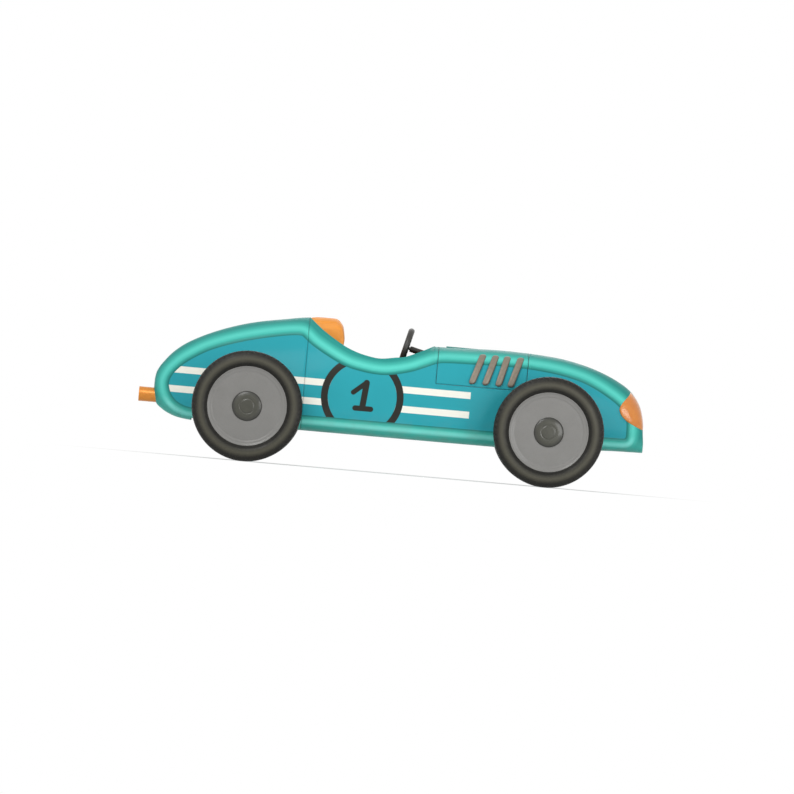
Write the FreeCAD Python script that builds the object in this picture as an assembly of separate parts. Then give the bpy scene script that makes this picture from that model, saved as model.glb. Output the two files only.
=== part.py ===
import FreeCAD, Part
import math
import os
from FreeCAD import Vector

os.makedirs("parts", exist_ok=True)

# Lengths are millimetres, angles are degrees. +X is the nose, +Y is the left side, +Z is up.
# The ground is z = 0 and the middle of the overall length is x = 0.

# Overall sizes
wheel_base = 2200
track_width = 1280
tyre_radius = 403
axle_z = 403
sill_z = 260
body_depth = 828
body_half_width = 415
wall = 16
joint_clearance = 6
nothing = 0
far = 4000

# Where the body and its fittings lie along the car, as shares of the wheel base or of the body length
body_length = wheel_base * 1.6318
tail_tip_x = -wheel_base * 0.7909
nose_x = tail_tip_x + body_length
front_axle_x = wheel_base * 0.52386
rear_axle_x = front_axle_x - wheel_base


def x_of(share):
    return tail_tip_x + share * body_length


def y_of(share):
    return share * body_half_width


def z_of(share):
    return sill_z + share * body_depth


# Wheels and tyres
tyre_width = 150
tyre_crown_width = 100
bead_width = 96
tyre_section_height = 116
rim_radius = tyre_radius - tyre_section_height
tyre_bulge_radius = rim_radius + tyre_section_height * 0.41
rim_lip = 12
cone_drop = 29
disc_face_inset = 12
disc_back = 24
disc_back_radius = rim_radius - 3 * cone_drop
hub_cap_radius = 108.5
hub_cap_depth = 20
hub_cap_bevel = 8
drum_radius = 150
drum_inner = -62
drum_outer = -6
hub_radius = 60
stub_radius = 20
stub_end = 18
running_clearance = 0.05
back_plate_thickness = 6
back_plate_offset = -75
wheel_y = track_width / 2
tyre_sides = 44
cap_sides = 24
drum_sides = 16
shaft_sides = 12
rim_sides = 24
rim_tube_sides = 6

# Steering knuckles and track rod
king_pin_offset = 105
king_pin_y = wheel_y - king_pin_offset
king_pin_radius = 12
eye_radius = 22
eye_half_height = 30
lug_thickness = 22
lug_gap = 6
king_pin_reach = eye_half_height + lug_gap + lug_thickness
steering_arm_length = 150
arm_width = 16
arm_drop = 38
arm_low = axle_z - arm_drop
arm_thickness = 18
arm_root_back = 30
arm_root_out = 28
arm_eye_radius = 15
track_rod_radius = 9
track_rod_pin_radius = 6
open_pin_radius = 5
pin_tail = 3
track_rod_end_low = arm_low + arm_thickness + 5
track_rod_end_thickness = 14

# Axles and springs
front_beam_radius = 22
rear_tube_radius = 32
axle_hole_clearance = 10
differential_radius = 100
differential_half_width = 70
leaf_thickness = 9
spring_drop = 38
main_leaf_top = axle_z - spring_drop
leaf_half_lengths = (218, 150, 85)
saddle_half_length = 35
hanger_length = 36
hanger_height = 21

# Chassis
rail_top = main_leaf_top - 1
rail_height = 58
rail_low = rail_top - rail_height
rail_inner_y = y_of(0.3855)
rail_outer_y = y_of(0.4819)
spring_inner_y = y_of(0.4940)
spring_outer_y = y_of(0.5904)
rail_overhang = 35
rail_rear_x = rear_axle_x - leaf_half_lengths[0] - rail_overhang
rail_front_x = front_axle_x + leaf_half_lengths[0] - rail_overhang / 2
rail_clearance = 2
cross_height = 30
cross_length = 30
cross_shares = (0.1267, 0.2730, 0.5599, 0.7354, 0.8524)
jack_pad_shares = (0.2730, 0.7354)
jack_pad_radius = 36
jack_pad_depth = 10
floor_thickness = 8
floor_clearance = 3
floor_rear_x = x_of(0.3064)
firewall_x = x_of(0.5655)
firewall_thickness = 11

# Body panels
tail_joint_x = x_of(0.3036)
bonnet_rear_x = x_of(0.5696)
bonnet_front_x = x_of(0.7538)
bonnet_lower_z = z_of(0.5193)
spine_half_width = 8
lid_inner_y = 20
hinge_y = 14.5
hinge_z = z_of(0.8454)
hinge_radius = 6
underside_half_opening = y_of(0.3614)
underside_opening_height = 60
underside_rear_x = x_of(0.0808)
underside_front_x = x_of(0.9025)
bulkhead_thickness = 16
mouth_z = z_of(0.2053)
mouth_half_width = y_of(0.3614)
mouth_half_height = body_depth * 0.0906
mouth_depth = 130
mouth_sides = 24
rod_slot_front = 44
rod_slot_rear = 28
rod_slot_half_height = 22

# Grille and radiator
grille_front_gap = 22
grille_depth = 18
grille_ring = 10
grille_bar_width = 6
grille_bar_count = 9
radiator_x = x_of(0.8440)
radiator_depth = 60
radiator_height = 350

# Lamps and louvres
lamp_thickness = 12
lamp_inner_y = y_of(0.2289)
louvre_thickness = 10
louvre_width = 45

# Engine
engine_rear_x = x_of(0.5794)
engine_front_x = x_of(0.7242)
engine_half_width = y_of(0.3133)
engine_low = rail_low + 4
engine_top = z_of(0.7005)
engine_foot_length = 50
engine_foot_height = 30

# Cockpit
dash_x = x_of(0.5577)
dash_thickness = 12
dash_low = z_of(0.4589)
seat_half_width = y_of(0.4578)
seat_front_lean = 9
seat_front_x = x_of(0.3769)
seat_back_top = z_of(0.7585)
seat_back_thickness = 170
cushion_height = 98
cushion_front_x = x_of(0.5098)
pad_gap = 4
headrest_half_width = y_of(0.3614)
headrest_low = z_of(0.7657)
headrest_top = z_of(1.0048)
headrest_chamfer = 34
lever_x = x_of(0.4958)
lever_y = y_of(0.6313)
lever_radius = 8
lever_height = 268
lever_boot_radius = 26
lever_boot_height = 14
knob_radius = 20
pedal_x = x_of(0.5418)
pedal_shares = (-0.3133, 0, 0.3133)
pedal_width = 62
pedal_height = 80
pedal_thickness = 8
pedal_rise = 108
pedal_arm = 14

# Steering wheel and column
steering_x = x_of(0.5032)
steering_z = z_of(0.8080)
steering_tilt = 14
steering_rim_radius = 124
steering_rim_tube = 16
steering_hub_radius = 28
steering_hub_rear = 12
steering_hub_front = 22
spoke_width = 26
spoke_thickness = 8
spoke_angles = (30, 150, 270)
shaft_radius = 11
shaft_length = 120
jacket_radius = 19
jacket_start = 30
jacket_overhang = 12
jacket_end = dash_x + dash_thickness - steering_x + jacket_overhang

# Tail pipe
pipe_radius = 54
pipe_bore_radius = 46
pipe_z = z_of(0.1993)
pipe_reach = 107.5
pipe_rear_x = tail_tip_x - pipe_reach
pipe_front_x = x_of(0.0501)

# Body sections, from tail to nose. Each row holds shares and exponents:
# station of the length, top and bottom of the depth, widest line between them,
# half width, and the roundness of the upper sides, of the top and of the lower half
ring_sides = 24
inner_sides = 12
body_section_shares = (
    (0.0000, 0.3430, 0.2379, 0.50, 0.072, 2.00, 2.00, 2.0),
    (0.0020, 0.3956, 0.1827, 0.50, 0.150, 2.00, 2.00, 2.0),
    (0.0072, 0.4481, 0.1275, 0.48, 0.230, 2.10, 2.00, 2.1),
    (0.0167, 0.5086, 0.0907, 0.46, 0.315, 2.10, 1.90, 2.2),
    (0.0315, 0.5848, 0.0526, 0.44, 0.400, 2.20, 1.80, 2.4),
    (0.0543, 0.6676, 0.0197, 0.41, 0.502, 2.20, 1.75, 2.7),
    (0.0877, 0.7503, 0.0040, 0.37, 0.622, 2.20, 1.70, 3.1),
    (0.1379, 0.8423, 0.0000, 0.34, 0.760, 2.20, 1.70, 3.6),
    (0.1936, 0.9146, 0.0000, 0.32, 0.868, 2.20, 1.70, 4.0),
    (0.2493, 0.9606, 0.0000, 0.31, 0.940, 2.20, 1.70, 4.2),
    (0.3050, 0.9974, 0.0000, 0.30, 0.983, 2.25, 1.75, 4.4),
    (0.3440, 1.0000, 0.0000, 0.31, 0.995, 2.35, 1.85, 4.5),
    (0.4025, 0.9540, 0.0000, 0.33, 1.000, 2.60, 2.20, 4.5),
    (0.4720, 0.8752, 0.0000, 0.36, 0.995, 3.00, 2.80, 4.5),
    (0.5418, 0.8357, 0.0000, 0.38, 0.975, 3.30, 3.20, 4.5),
    (0.6114, 0.8423, 0.0000, 0.39, 0.935, 3.40, 3.40, 4.5),
    (0.6950, 0.8541, 0.0000, 0.40, 0.860, 3.40, 3.40, 4.5),
    (0.7507, 0.8489, 0.0000, 0.40, 0.825, 3.40, 3.40, 4.4),
    (0.8092, 0.8318, 0.0027, 0.41, 0.785, 3.30, 3.30, 4.2),
    (0.8621, 0.7911, 0.0224, 0.42, 0.740, 3.20, 3.20, 4.0),
    (0.9064, 0.7319, 0.0473, 0.43, 0.692, 3.10, 3.10, 3.9),
    (0.9387, 0.6689, 0.0552, 0.44, 0.648, 3.00, 3.00, 3.8),
    (0.9596, 0.6137, 0.0579, 0.45, 0.608, 3.00, 2.90, 3.7),
    (0.9749, 0.5506, 0.0592, 0.46, 0.566, 3.00, 2.80, 3.6),
    (0.9875, 0.4573, 0.0605, 0.47, 0.512, 3.00, 2.70, 3.5),
    (0.9947, 0.3456, 0.0605, 0.48, 0.460, 3.00, 2.60, 3.4),
    (0.9986, 0.2379, 0.0618, 0.49, 0.410, 3.00, 2.60, 3.3),
    (1.0000, 0.1643, 0.0631, 0.50, 0.370, 3.00, 2.60, 3.2),
)

# Cockpit opening in side view: shares of the body length and of the body depth
cockpit_edge_shares = (
    (0.3036, 0.9963),
    (0.3322, 0.8937),
    (0.3600, 0.8153),
    (0.3879, 0.7488),
    (0.4198, 0.7041),
    (0.4521, 0.6836),
    (0.4847, 0.7041),
    (0.4993, 0.7125),
    (0.5272, 0.7609),
    (0.5492, 0.8092),
    (0.5620, 0.8394),
    (0.5620, 1.2628),
    (0.3036, 1.2628),
)

# Lamp outline in side view: shares of the body length and of the body depth
lamp_outline_shares = (
    (0.9645, 0.5857),
    (0.9568, 0.5375),
    (0.9482, 0.4678),
    (0.9464, 0.4284),
    (0.9500, 0.3824),
    (0.9604, 0.3259),
    (0.9840, 0.2597),
    (1.0300, 0.2597),
    (1.0300, 0.5857),
)

# Louvre centre lines in side view: lower and upper ends, shares of the body length and depth
louvre_line_shares = (
    (0.6441, 0.5496, 0.6595, 0.7911),
    (0.6712, 0.5496, 0.6854, 0.7911),
    (0.6976, 0.5496, 0.7096, 0.7911),
    (0.7222, 0.5496, 0.7366, 0.7911),
)


# Small building functions

def save(name, shape):
    placed = shape.copy()
    placed.translate(Vector(nothing, nothing, tyre_radius - axle_z))
    placed.exportStep("parts/" + name + ".step")


def block(x0, x1, y0, y1, z0, z1):
    return Part.makeBox(x1 - x0, y1 - y0, z1 - z0, Vector(x0, y0, z0))


def rod(start, direction, radius, length):
    return Part.makeCylinder(radius, length, start, direction)


def face_of(points):
    ring = list(points)
    ring.append(points[0])
    return Part.Face(Part.makePolygon(ring))


def side_prism(points, y0, y1):
    corners = [Vector(x, y0, z) for x, z in points]
    return face_of(corners).extrude(Vector(nothing, y1 - y0, nothing))


def front_prism(points, x0, x1):
    corners = [Vector(x0, y, z) for y, z in points]
    return face_of(corners).extrude(Vector(x1 - x0, nothing, nothing))


def mirrored(shape):
    return shape.mirror(Vector(nothing, nothing, nothing), Vector(nothing, 1, nothing))


def joined(shapes):
    whole = shapes[0]
    for shape in shapes[1:]:
        whole = whole.fuse(shape)
    return whole.removeSplitter()


def round_points(count, radius_a, radius_b):
    turns = [2 * math.pi * k / count for k in range(count)]
    return [(radius_a * math.cos(turn), radius_b * math.sin(turn)) for turn in turns]


def turned_face(ring, other, sides):
    faces = []
    for k in range(sides):
        n = (k + 1) % sides
        faces.append(face_of([ring[k], ring[n], other[n], other[k]]))
    return faces


def side_lathe(profile, sides, x, y, z):
    rings = []
    for across, radius in profile:
        rings.append([Vector(x + a, y + across, z + b) for a, b in round_points(sides, radius, radius)])
    faces = []
    for k, (across, radius) in enumerate(profile):
        n = (k + 1) % len(profile)
        if radius and profile[n][1]:
            faces.extend(turned_face(rings[k], rings[n], sides))
        elif radius or profile[n][1]:
            faces.append(face_of(rings[k] if radius else rings[n]))
    return Part.Solid(Part.Shell(faces))


def side_disc(sides, x, y0, y1, z, radius):
    profile = ((nothing, nothing), (nothing, radius), (y1 - y0, radius), (y1 - y0, nothing))
    return side_lathe(profile, sides, x, y0, z)


def post(x, y, z0, z1, radius, sides):
    shape = side_disc(sides, nothing, nothing, z1 - z0, nothing, radius)
    shape.rotate(Vector(nothing, nothing, nothing), Vector(1, nothing, nothing), 90)
    shape.translate(Vector(x, y, z0))
    return shape


def ahead_lathe(profile, sides):
    shape = side_lathe(profile, sides, nothing, nothing, nothing)
    shape.rotate(Vector(nothing, nothing, nothing), Vector(nothing, nothing, 1), -90)
    return shape


def outline(shares):
    return [(x_of(along), z_of(up)) for along, up in shares]


# Body skin: rings of points joined by flat triangles, the same on the left and on the right

def section_row(share):
    rows = body_section_shares
    for low, high in zip(rows, rows[1:]):
        if share <= high[0]:
            break
    part = (share - low[0]) / (high[0] - low[0])
    return [a + part * (b - a) for a, b in zip(low, high)]


def section_ring(x, inset, count):
    middle = tail_tip_x + body_length / 2
    share = 1 / 2 + (x - middle) / (body_length - 2 * inset)
    row = section_row(min(max(share, 0), 1))
    top = z_of(row[1]) - inset
    low = z_of(row[2]) + inset
    waist = z_of(row[2] + row[3] * (row[1] - row[2]))
    half = row[4] * body_half_width - inset
    ring = []
    for k in range(count):
        turn = 2 * math.pi * k / count
        across = math.cos(turn)
        up = math.sin(turn)
        if abs(across) < 1 / far:
            across = 0
        if abs(up) < 1 / far:
            up = 0
        upper = up >= 0
        power_y = row[5] if upper else row[7]
        power_z = row[6] if upper else row[7]
        reach = top - waist if upper else waist - low
        y = half * math.copysign(abs(across) ** (2 / power_y), across)
        z = waist + reach * math.copysign(abs(up) ** (2 / power_z), up)
        ring.append(Vector(x, y, z))
    return ring


def skin(inset, x0, x1):
    coarse = inset > 0
    count = inner_sides if coarse else ring_sides
    middle = tail_tip_x + body_length / 2
    shrunk = body_length - 2 * inset
    first = max(x0, middle - shrunk / 2)
    last = min(x1, middle + shrunk / 2)
    rows = body_section_shares[::2] if coarse else body_section_shares
    stations = [middle + (row[0] - 1 / 2) * shrunk for row in rows]
    stations = [x for x in stations if first + wall / 4 < x < last - wall / 4]
    rings = [section_ring(x, inset, count) for x in [first] + stations + [last]]
    faces = [face_of(rings[0]), face_of(rings[-1])]
    for near, away in zip(rings, rings[1:]):
        for k in range(count):
            n = (k + 1) % count
            left_side = near[k].y + near[n].y > 0
            if left_side:
                faces.append(face_of([near[k], near[n], away[n]]))
                faces.append(face_of([near[k], away[n], away[k]]))
            else:
                faces.append(face_of([near[k], near[n], away[k]]))
                faces.append(face_of([near[n], away[n], away[k]]))
    return Part.Solid(Part.Shell(faces))


def inside(x0, x1):
    return skin(wall, x0 - 2 * wall, x1 + 2 * wall)


def hollow(x0, x1):
    return skin(nothing, x0, x1).cut(inside(x0, x1))


def underside_opening():
    half = underside_half_opening
    top = sill_z + underside_opening_height
    return block(underside_rear_x, underside_front_x, -half, half, nothing, top)


def rail_space():
    c = rail_clearance
    low = rail_low - c
    y0 = underside_half_opening - c
    left = block(rail_rear_x - c, rail_front_x + c, y0, rail_outer_y + c, low, rail_top + c)
    for x0, x1 in hanger_spans():
        left = left.fuse(block(x0 - c, x1 + c, rail_outer_y, spring_outer_y + c, low, rail_top + c))
    return left.fuse(mirrored(left))


def hanger_spans():
    spans = []
    for axle_x in (front_axle_x, rear_axle_x):
        for way in (-1, 1):
            x = axle_x + way * (leaf_half_lengths[0] - hanger_length / 2)
            spans.append((x - hanger_length / 2, x + hanger_length / 2))
    return spans


def axle_space(x, radius):
    return side_disc(shaft_sides, x, -wheel_y, wheel_y, axle_z, radius + axle_hole_clearance)


def track_rod_space():
    x = front_axle_x - steering_arm_length
    z = track_rod_end_low + track_rod_end_thickness / 2
    half = rod_slot_half_height
    return block(x - rod_slot_rear, x + rod_slot_front, -wheel_y, wheel_y, z - half, z + half)


def cockpit_opening():
    return side_prism(outline(cockpit_edge_shares), -body_half_width, body_half_width)


def mouth_shape(inset, x0, x1):
    ring = round_points(mouth_sides, mouth_half_width - inset, mouth_half_height - inset)
    return front_prism([(y, mouth_z + z) for y, z in ring], x0, x1)


# Body panels

def nose_cowl():
    panel = hollow(bonnet_front_x, nose_x)
    panel = panel.cut(underside_opening())
    panel = panel.cut(axle_space(front_axle_x, front_beam_radius))
    panel = panel.cut(track_rod_space())
    panel = panel.cut(rail_space())
    return panel.cut(mouth_shape(nothing, nose_x - mouth_depth, nose_x + wall))


def bonnet_space():
    high = z_of(1)
    left = block(
        bonnet_rear_x, bonnet_front_x, spine_half_width, body_half_width,
        bonnet_lower_z - joint_clearance, high
    )
    return left.fuse(mirrored(left))


def cockpit_shell():
    panel = hollow(tail_joint_x, bonnet_front_x)
    panel = panel.cut(bonnet_space())
    panel = panel.cut(cockpit_opening())
    panel = panel.cut(underside_opening())
    return panel.cut(rail_space())


def tail_pipe_body():
    length = pipe_front_x - pipe_rear_x
    profile = ((nothing, nothing), (nothing, pipe_radius), (length, pipe_radius), (length, nothing))
    shape = ahead_lathe(profile, cap_sides)
    shape.translate(Vector(pipe_rear_x, nothing, pipe_z))
    return shape


def tail_shell():
    panel = hollow(tail_tip_x, tail_joint_x)
    bulkhead = skin(wall, tail_joint_x - bulkhead_thickness, tail_joint_x)
    panel = panel.fuse(bulkhead)
    panel = panel.cut(underside_opening())
    panel = panel.cut(axle_space(rear_axle_x, rear_tube_radius))
    panel = panel.cut(rail_space())
    return panel.cut(tail_pipe_body())


def bonnet_lid():
    x0 = bonnet_rear_x + joint_clearance
    x1 = bonnet_front_x - joint_clearance
    keep = block(x0, x1, lid_inner_y, body_half_width, bonnet_lower_z, z_of(1))
    lid = hollow(x0, x1).common(keep)
    hinge = rod(Vector(x0, hinge_y, hinge_z), Vector(1, nothing, nothing), hinge_radius, x1 - x0)
    flap = block(
        x0, x1, hinge_y, lid_inner_y + hinge_radius, hinge_z - hinge_radius, hinge_z - hinge_radius / 3
    )
    return joined([lid, hinge, flap])


def louvre_set():
    raised = skin(-louvre_thickness, bonnet_rear_x + wall, bonnet_front_x - wall)
    raised = raised.cut(skin(nothing, bonnet_rear_x, bonnet_front_x))
    bars = []
    half = louvre_width / 2
    for low_x, low_z, high_x, high_z in louvre_line_shares:
        corners = [
            (x_of(low_x) - half, z_of(low_z)),
            (x_of(low_x) + half, z_of(low_z)),
            (x_of(high_x) + half, z_of(high_z)),
            (x_of(high_x) - half, z_of(high_z)),
        ]
        prism = side_prism(corners, lid_inner_y, body_half_width + wall)
        bars.append(raised.common(prism))
    return Part.makeCompound([solid for bar in bars for solid in bar.Solids])


def lamp_lens():
    rear_x = x_of(lamp_outline_shares[3][0]) - wall
    raised = skin(-lamp_thickness, rear_x, nose_x + lamp_thickness)
    raised = raised.cut(skin(nothing, rear_x - wall, nose_x))
    prism = side_prism(outline(lamp_outline_shares), lamp_inner_y, body_half_width)
    return raised.common(prism)


# Nose pieces

def grille():
    x1 = nose_x - grille_front_gap
    x0 = x1 - grille_depth
    ring = mouth_shape(nothing, x0, x1).cut(mouth_shape(grille_ring, x0 - wall, x1 + wall))
    pieces = [ring]
    pitch = 2 * mouth_half_width / (grille_bar_count + 1)
    for k in range(grille_bar_count):
        y = (k + 1) * pitch - mouth_half_width
        half = grille_bar_width / 2
        bar = block(x0, x1, y - half, y + half, nothing, z_of(1))
        pieces.append(bar.common(mouth_shape(grille_ring / 2, x0, x1)))
    return joined(pieces)


def radiator():
    x0 = radiator_x
    x1 = radiator_x + radiator_depth
    half = rail_outer_y
    return block(x0, x1, -half, half, rail_top, rail_top + radiator_height)


# Chassis, axles and springs

def chassis_frame():
    left = block(rail_rear_x, rail_front_x, rail_inner_y, rail_outer_y, rail_low, rail_top)
    pieces = [left, mirrored(left)]
    for share in cross_shares:
        x0 = x_of(share) - cross_length / 2
        x1 = x0 + cross_length
        pieces.append(block(x0, x1, -rail_inner_y, rail_inner_y, rail_low, rail_low + cross_height))
    for share in jack_pad_shares:
        pieces.append(
            post(x_of(share), nothing, rail_low - jack_pad_depth, rail_low, jack_pad_radius, drum_sides)
        )
    leaf_low = main_leaf_top - leaf_thickness
    for x0, x1 in hanger_spans():
        hanger = block(x0, x1, rail_outer_y, spring_outer_y, leaf_low - hanger_height, leaf_low)
        pieces.append(hanger)
        pieces.append(mirrored(hanger))
    return joined(pieces)


def spring_pair(axle_x):
    leaves = []
    for k, half in enumerate(leaf_half_lengths):
        top = main_leaf_top - k * leaf_thickness
        low = top - leaf_thickness
        leaves.append(block(axle_x - half, axle_x + half, spring_inner_y, spring_outer_y, low, top))
    left = joined(leaves)
    return Part.makeCompound([left, mirrored(left)])


def saddles(axle_x):
    half = saddle_half_length
    left = block(axle_x - half, axle_x + half, spring_inner_y, spring_outer_y, main_leaf_top, axle_z)
    return [left, mirrored(left)]


def front_axle():
    reach = king_pin_y
    pieces = [side_disc(shaft_sides, front_axle_x, -reach, reach, axle_z, front_beam_radius)]
    for way in (-1, 1):
        low = axle_z - eye_half_height
        high = axle_z + eye_half_height
        pieces.append(post(front_axle_x, way * king_pin_y, low, high, eye_radius, shaft_sides))
    axle = joined(pieces + saddles(front_axle_x))
    for way in (-1, 1):
        low = Vector(front_axle_x, way * king_pin_y, axle_z - king_pin_reach)
        bore = rod(low, Vector(nothing, nothing, 1), king_pin_radius + running_clearance, 2 * king_pin_reach)
        axle = axle.cut(bore)
    return axle


def back_plate(x):
    y = wheel_y + back_plate_offset
    return side_disc(drum_sides, x, y, y + back_plate_thickness, axle_z, drum_radius)


def stub_shaft(x):
    y = wheel_y + back_plate_offset
    return side_disc(shaft_sides, x, y, wheel_y + stub_end, axle_z, stub_radius)


def rear_axle():
    reach = wheel_y + back_plate_offset
    tube = side_disc(shaft_sides, rear_axle_x, -reach, reach, axle_z, rear_tube_radius)
    half = differential_half_width
    housing = side_disc(drum_sides, rear_axle_x, -half, half, axle_z, differential_radius)
    ends = back_plate(rear_axle_x).fuse(stub_shaft(rear_axle_x))
    return joined([tube, housing, ends, mirrored(ends)] + saddles(rear_axle_x))


# Wheels, built on the left side and mirrored to the right

def tyre(x):
    crown = tyre_crown_width / 2
    bulge = tyre_width / 2
    bead = bead_width / 2
    profile = (
        (-bead, rim_radius),
        (-bulge, tyre_bulge_radius),
        (-crown, tyre_radius),
        (crown, tyre_radius),
        (bulge, tyre_bulge_radius),
        (bead, rim_radius),
    )
    return side_lathe(profile, tyre_sides, x, wheel_y, axle_z)


def disc_wheel(x):
    bead = bead_width / 2
    face = bead - disc_face_inset
    profile = (
        (disc_back, nothing),
        (face, nothing),
        (face, hub_cap_radius),
        (bead, rim_radius),
        (-bead, rim_radius),
        (-bead, rim_radius - rim_lip),
        (disc_back, disc_back_radius),
    )
    return side_lathe(profile, tyre_sides, x, wheel_y, axle_z)


def hub_cap(x):
    face = bead_width / 2 - disc_face_inset
    profile = (
        (face, nothing),
        (face, hub_cap_radius),
        (face + hub_cap_depth - hub_cap_bevel, hub_cap_radius),
        (face + hub_cap_depth, hub_cap_radius - hub_cap_bevel),
        (face + hub_cap_depth, nothing),
    )
    return side_lathe(profile, cap_sides, x, wheel_y, axle_z)


def brake_drum(x):
    y0 = wheel_y + drum_inner
    y1 = wheel_y + drum_outer
    drum = side_disc(drum_sides, x, y0, y1, axle_z, drum_radius)
    hub = side_disc(shaft_sides, x, y1, wheel_y + disc_back, axle_z, hub_radius)
    bore = rod(
        Vector(x, y0 - wall, axle_z), Vector(nothing, 1, nothing),
        stub_radius + running_clearance, track_width
    )
    return drum.fuse(hub).cut(bore)


# Steering

def knuckle():
    z = axle_z
    low = z - king_pin_reach
    high = z + king_pin_reach
    pin = post(front_axle_x, king_pin_y, low, high, king_pin_radius, shaft_sides)
    plate_y = wheel_y + back_plate_offset
    pieces = [pin, back_plate(front_axle_x), stub_shaft(front_axle_x)]
    for low in (z - king_pin_reach, z + king_pin_reach - lug_thickness):
        pieces.append(post(front_axle_x, king_pin_y, low, low + lug_thickness, eye_radius, shaft_sides))
        pieces.append(
            block(
                front_axle_x - eye_radius, front_axle_x + eye_radius, king_pin_y,
                plate_y + back_plate_thickness, low, low + lug_thickness
            )
        )
    return pieces


def steering_arm():
    start = Vector(front_axle_x - arm_root_back, king_pin_y + arm_root_out, arm_low)
    end = arm_eye_centre(arm_low)
    run = end - start
    across = Vector(-run.y, run.x, nothing)
    across.normalize()
    across = across * (arm_width / 2)
    corners = [start + across, end + across, end - across, start - across]
    bar = face_of(corners).extrude(Vector(nothing, nothing, arm_thickness))
    eye = post(end.x, end.y, arm_low, arm_low + arm_thickness, arm_eye_radius, shaft_sides)
    return bar.fuse(eye)


def arm_eye_centre(z):
    return Vector(front_axle_x - steering_arm_length, king_pin_y, z)


def left_knuckle():
    whole = joined(knuckle() + [steering_arm()])
    low = arm_eye_centre(arm_low - wall)
    bore = rod(low, Vector(nothing, nothing, 1), track_rod_pin_radius + running_clearance, arm_thickness + 2 * wall)
    return whole.cut(bore)


def track_rod():
    z = track_rod_end_low + track_rod_end_thickness / 2
    end = arm_eye_centre(z)
    pieces = [side_disc(shaft_sides, end.x, -end.y, end.y, z, track_rod_radius)]
    for way, radius in ((1, track_rod_pin_radius), (-1, open_pin_radius)):
        low = track_rod_end_low
        high = low + track_rod_end_thickness
        pieces.append(post(end.x, way * end.y, low, high, arm_eye_radius, shaft_sides))
        pieces.append(post(end.x, way * end.y, arm_low - pin_tail, low, radius, shaft_sides))
    return joined(pieces)


def tilted(shape):
    turned = shape.copy()
    turned.rotate(Vector(nothing, nothing, nothing), Vector(nothing, 1, nothing), steering_tilt)
    turned.translate(Vector(steering_x, nothing, steering_z))
    return turned


def steering_wheel():
    ahead = Vector(1, nothing, nothing)
    tube = round_points(rim_tube_sides, steering_rim_tube, steering_rim_tube)
    rim = ahead_lathe([(across, steering_rim_radius + up) for across, up in tube], rim_sides)
    hub_profile = (
        (-steering_hub_rear, nothing),
        (-steering_hub_rear, steering_hub_radius),
        (steering_hub_front, steering_hub_radius),
        (steering_hub_front, nothing),
    )
    hub = ahead_lathe(hub_profile, shaft_sides)
    shaft_profile = (
        (nothing, nothing), (nothing, shaft_radius), (shaft_length, shaft_radius), (shaft_length, nothing)
    )
    shaft = ahead_lathe(shaft_profile, shaft_sides)
    pieces = [rim, hub, shaft]
    for angle in spoke_angles:
        half = spoke_thickness / 2
        side = spoke_width / 2
        spoke = block(-half, half, -side, side, nothing, steering_rim_radius)
        spoke.rotate(Vector(nothing, nothing, nothing), ahead, angle)
        pieces.append(spoke)
    return tilted(joined(pieces))


def column_jacket():
    profile = (
        (jacket_start, nothing),
        (jacket_start, jacket_radius),
        (jacket_end, jacket_radius),
        (jacket_end, nothing),
    )
    return tilted(ahead_lathe(profile, shaft_sides))


def steering_column():
    bore = tilted(
        rod(
            Vector(nothing, nothing, nothing), Vector(1, nothing, nothing),
            shaft_radius + running_clearance, shaft_length + joint_clearance
        )
    )
    return column_jacket().cut(bore)


# Cockpit

def floor_and_firewall():
    space = skin(wall + floor_clearance, floor_rear_x, firewall_x + firewall_thickness)
    floor = space.common(
        block(floor_rear_x, firewall_x, -far, far, rail_top, rail_top + floor_thickness)
    )
    wall_plate = space.common(
        block(firewall_x, firewall_x + firewall_thickness, -far, far, rail_top, z_of(1))
    )
    return joined([floor, wall_plate])


def dash_panel():
    plate = inside(tail_joint_x, bonnet_front_x)
    plate = plate.common(block(dash_x, dash_x + dash_thickness, -far, far, dash_low, z_of(1)))
    plate = plate.cut(cockpit_opening())
    return plate.cut(column_jacket())


def lean_x(z):
    return seat_front_x + (headrest_low - z) * math.tan(math.radians(seat_front_lean))


def seat_back():
    low = rail_top + floor_thickness
    top = seat_back_top
    corners = (
        (lean_x(low) - seat_back_thickness, low),
        (lean_x(low), low),
        (lean_x(top), top),
        (lean_x(top) - seat_back_thickness, top),
    )
    return side_prism(corners, -seat_half_width, seat_half_width)


def seat_cushion():
    low = rail_top + floor_thickness
    corners = (
        (lean_x(low) + pad_gap, low),
        (cushion_front_x, low),
        (cushion_front_x, low + cushion_height),
        (lean_x(low + cushion_height) + pad_gap, low + cushion_height),
    )
    return side_prism(corners, -seat_half_width, seat_half_width)


def headrest_pad():
    low = headrest_low
    top = headrest_top
    corners = (
        (tail_joint_x, low),
        (lean_x(low), low),
        (lean_x(top - headrest_chamfer), top - headrest_chamfer),
        (lean_x(top) - headrest_chamfer, top),
        (tail_joint_x, top),
    )
    pad = side_prism(corners, -headrest_half_width, headrest_half_width)
    space = skin(wall + pad_gap, tail_joint_x, dash_x).fuse(cockpit_opening())
    return pad.common(space)


def gear_lever():
    low = rail_top + floor_thickness
    boot = post(lever_x, -lever_y, low, low + lever_boot_height, lever_boot_radius, shaft_sides)
    top = low + lever_height
    stick = post(lever_x, -lever_y, low, top, lever_radius, shaft_sides)
    knob = post(lever_x, -lever_y, top - knob_radius, top + knob_radius, knob_radius, shaft_sides)
    return joined([boot, stick, knob])


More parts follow.
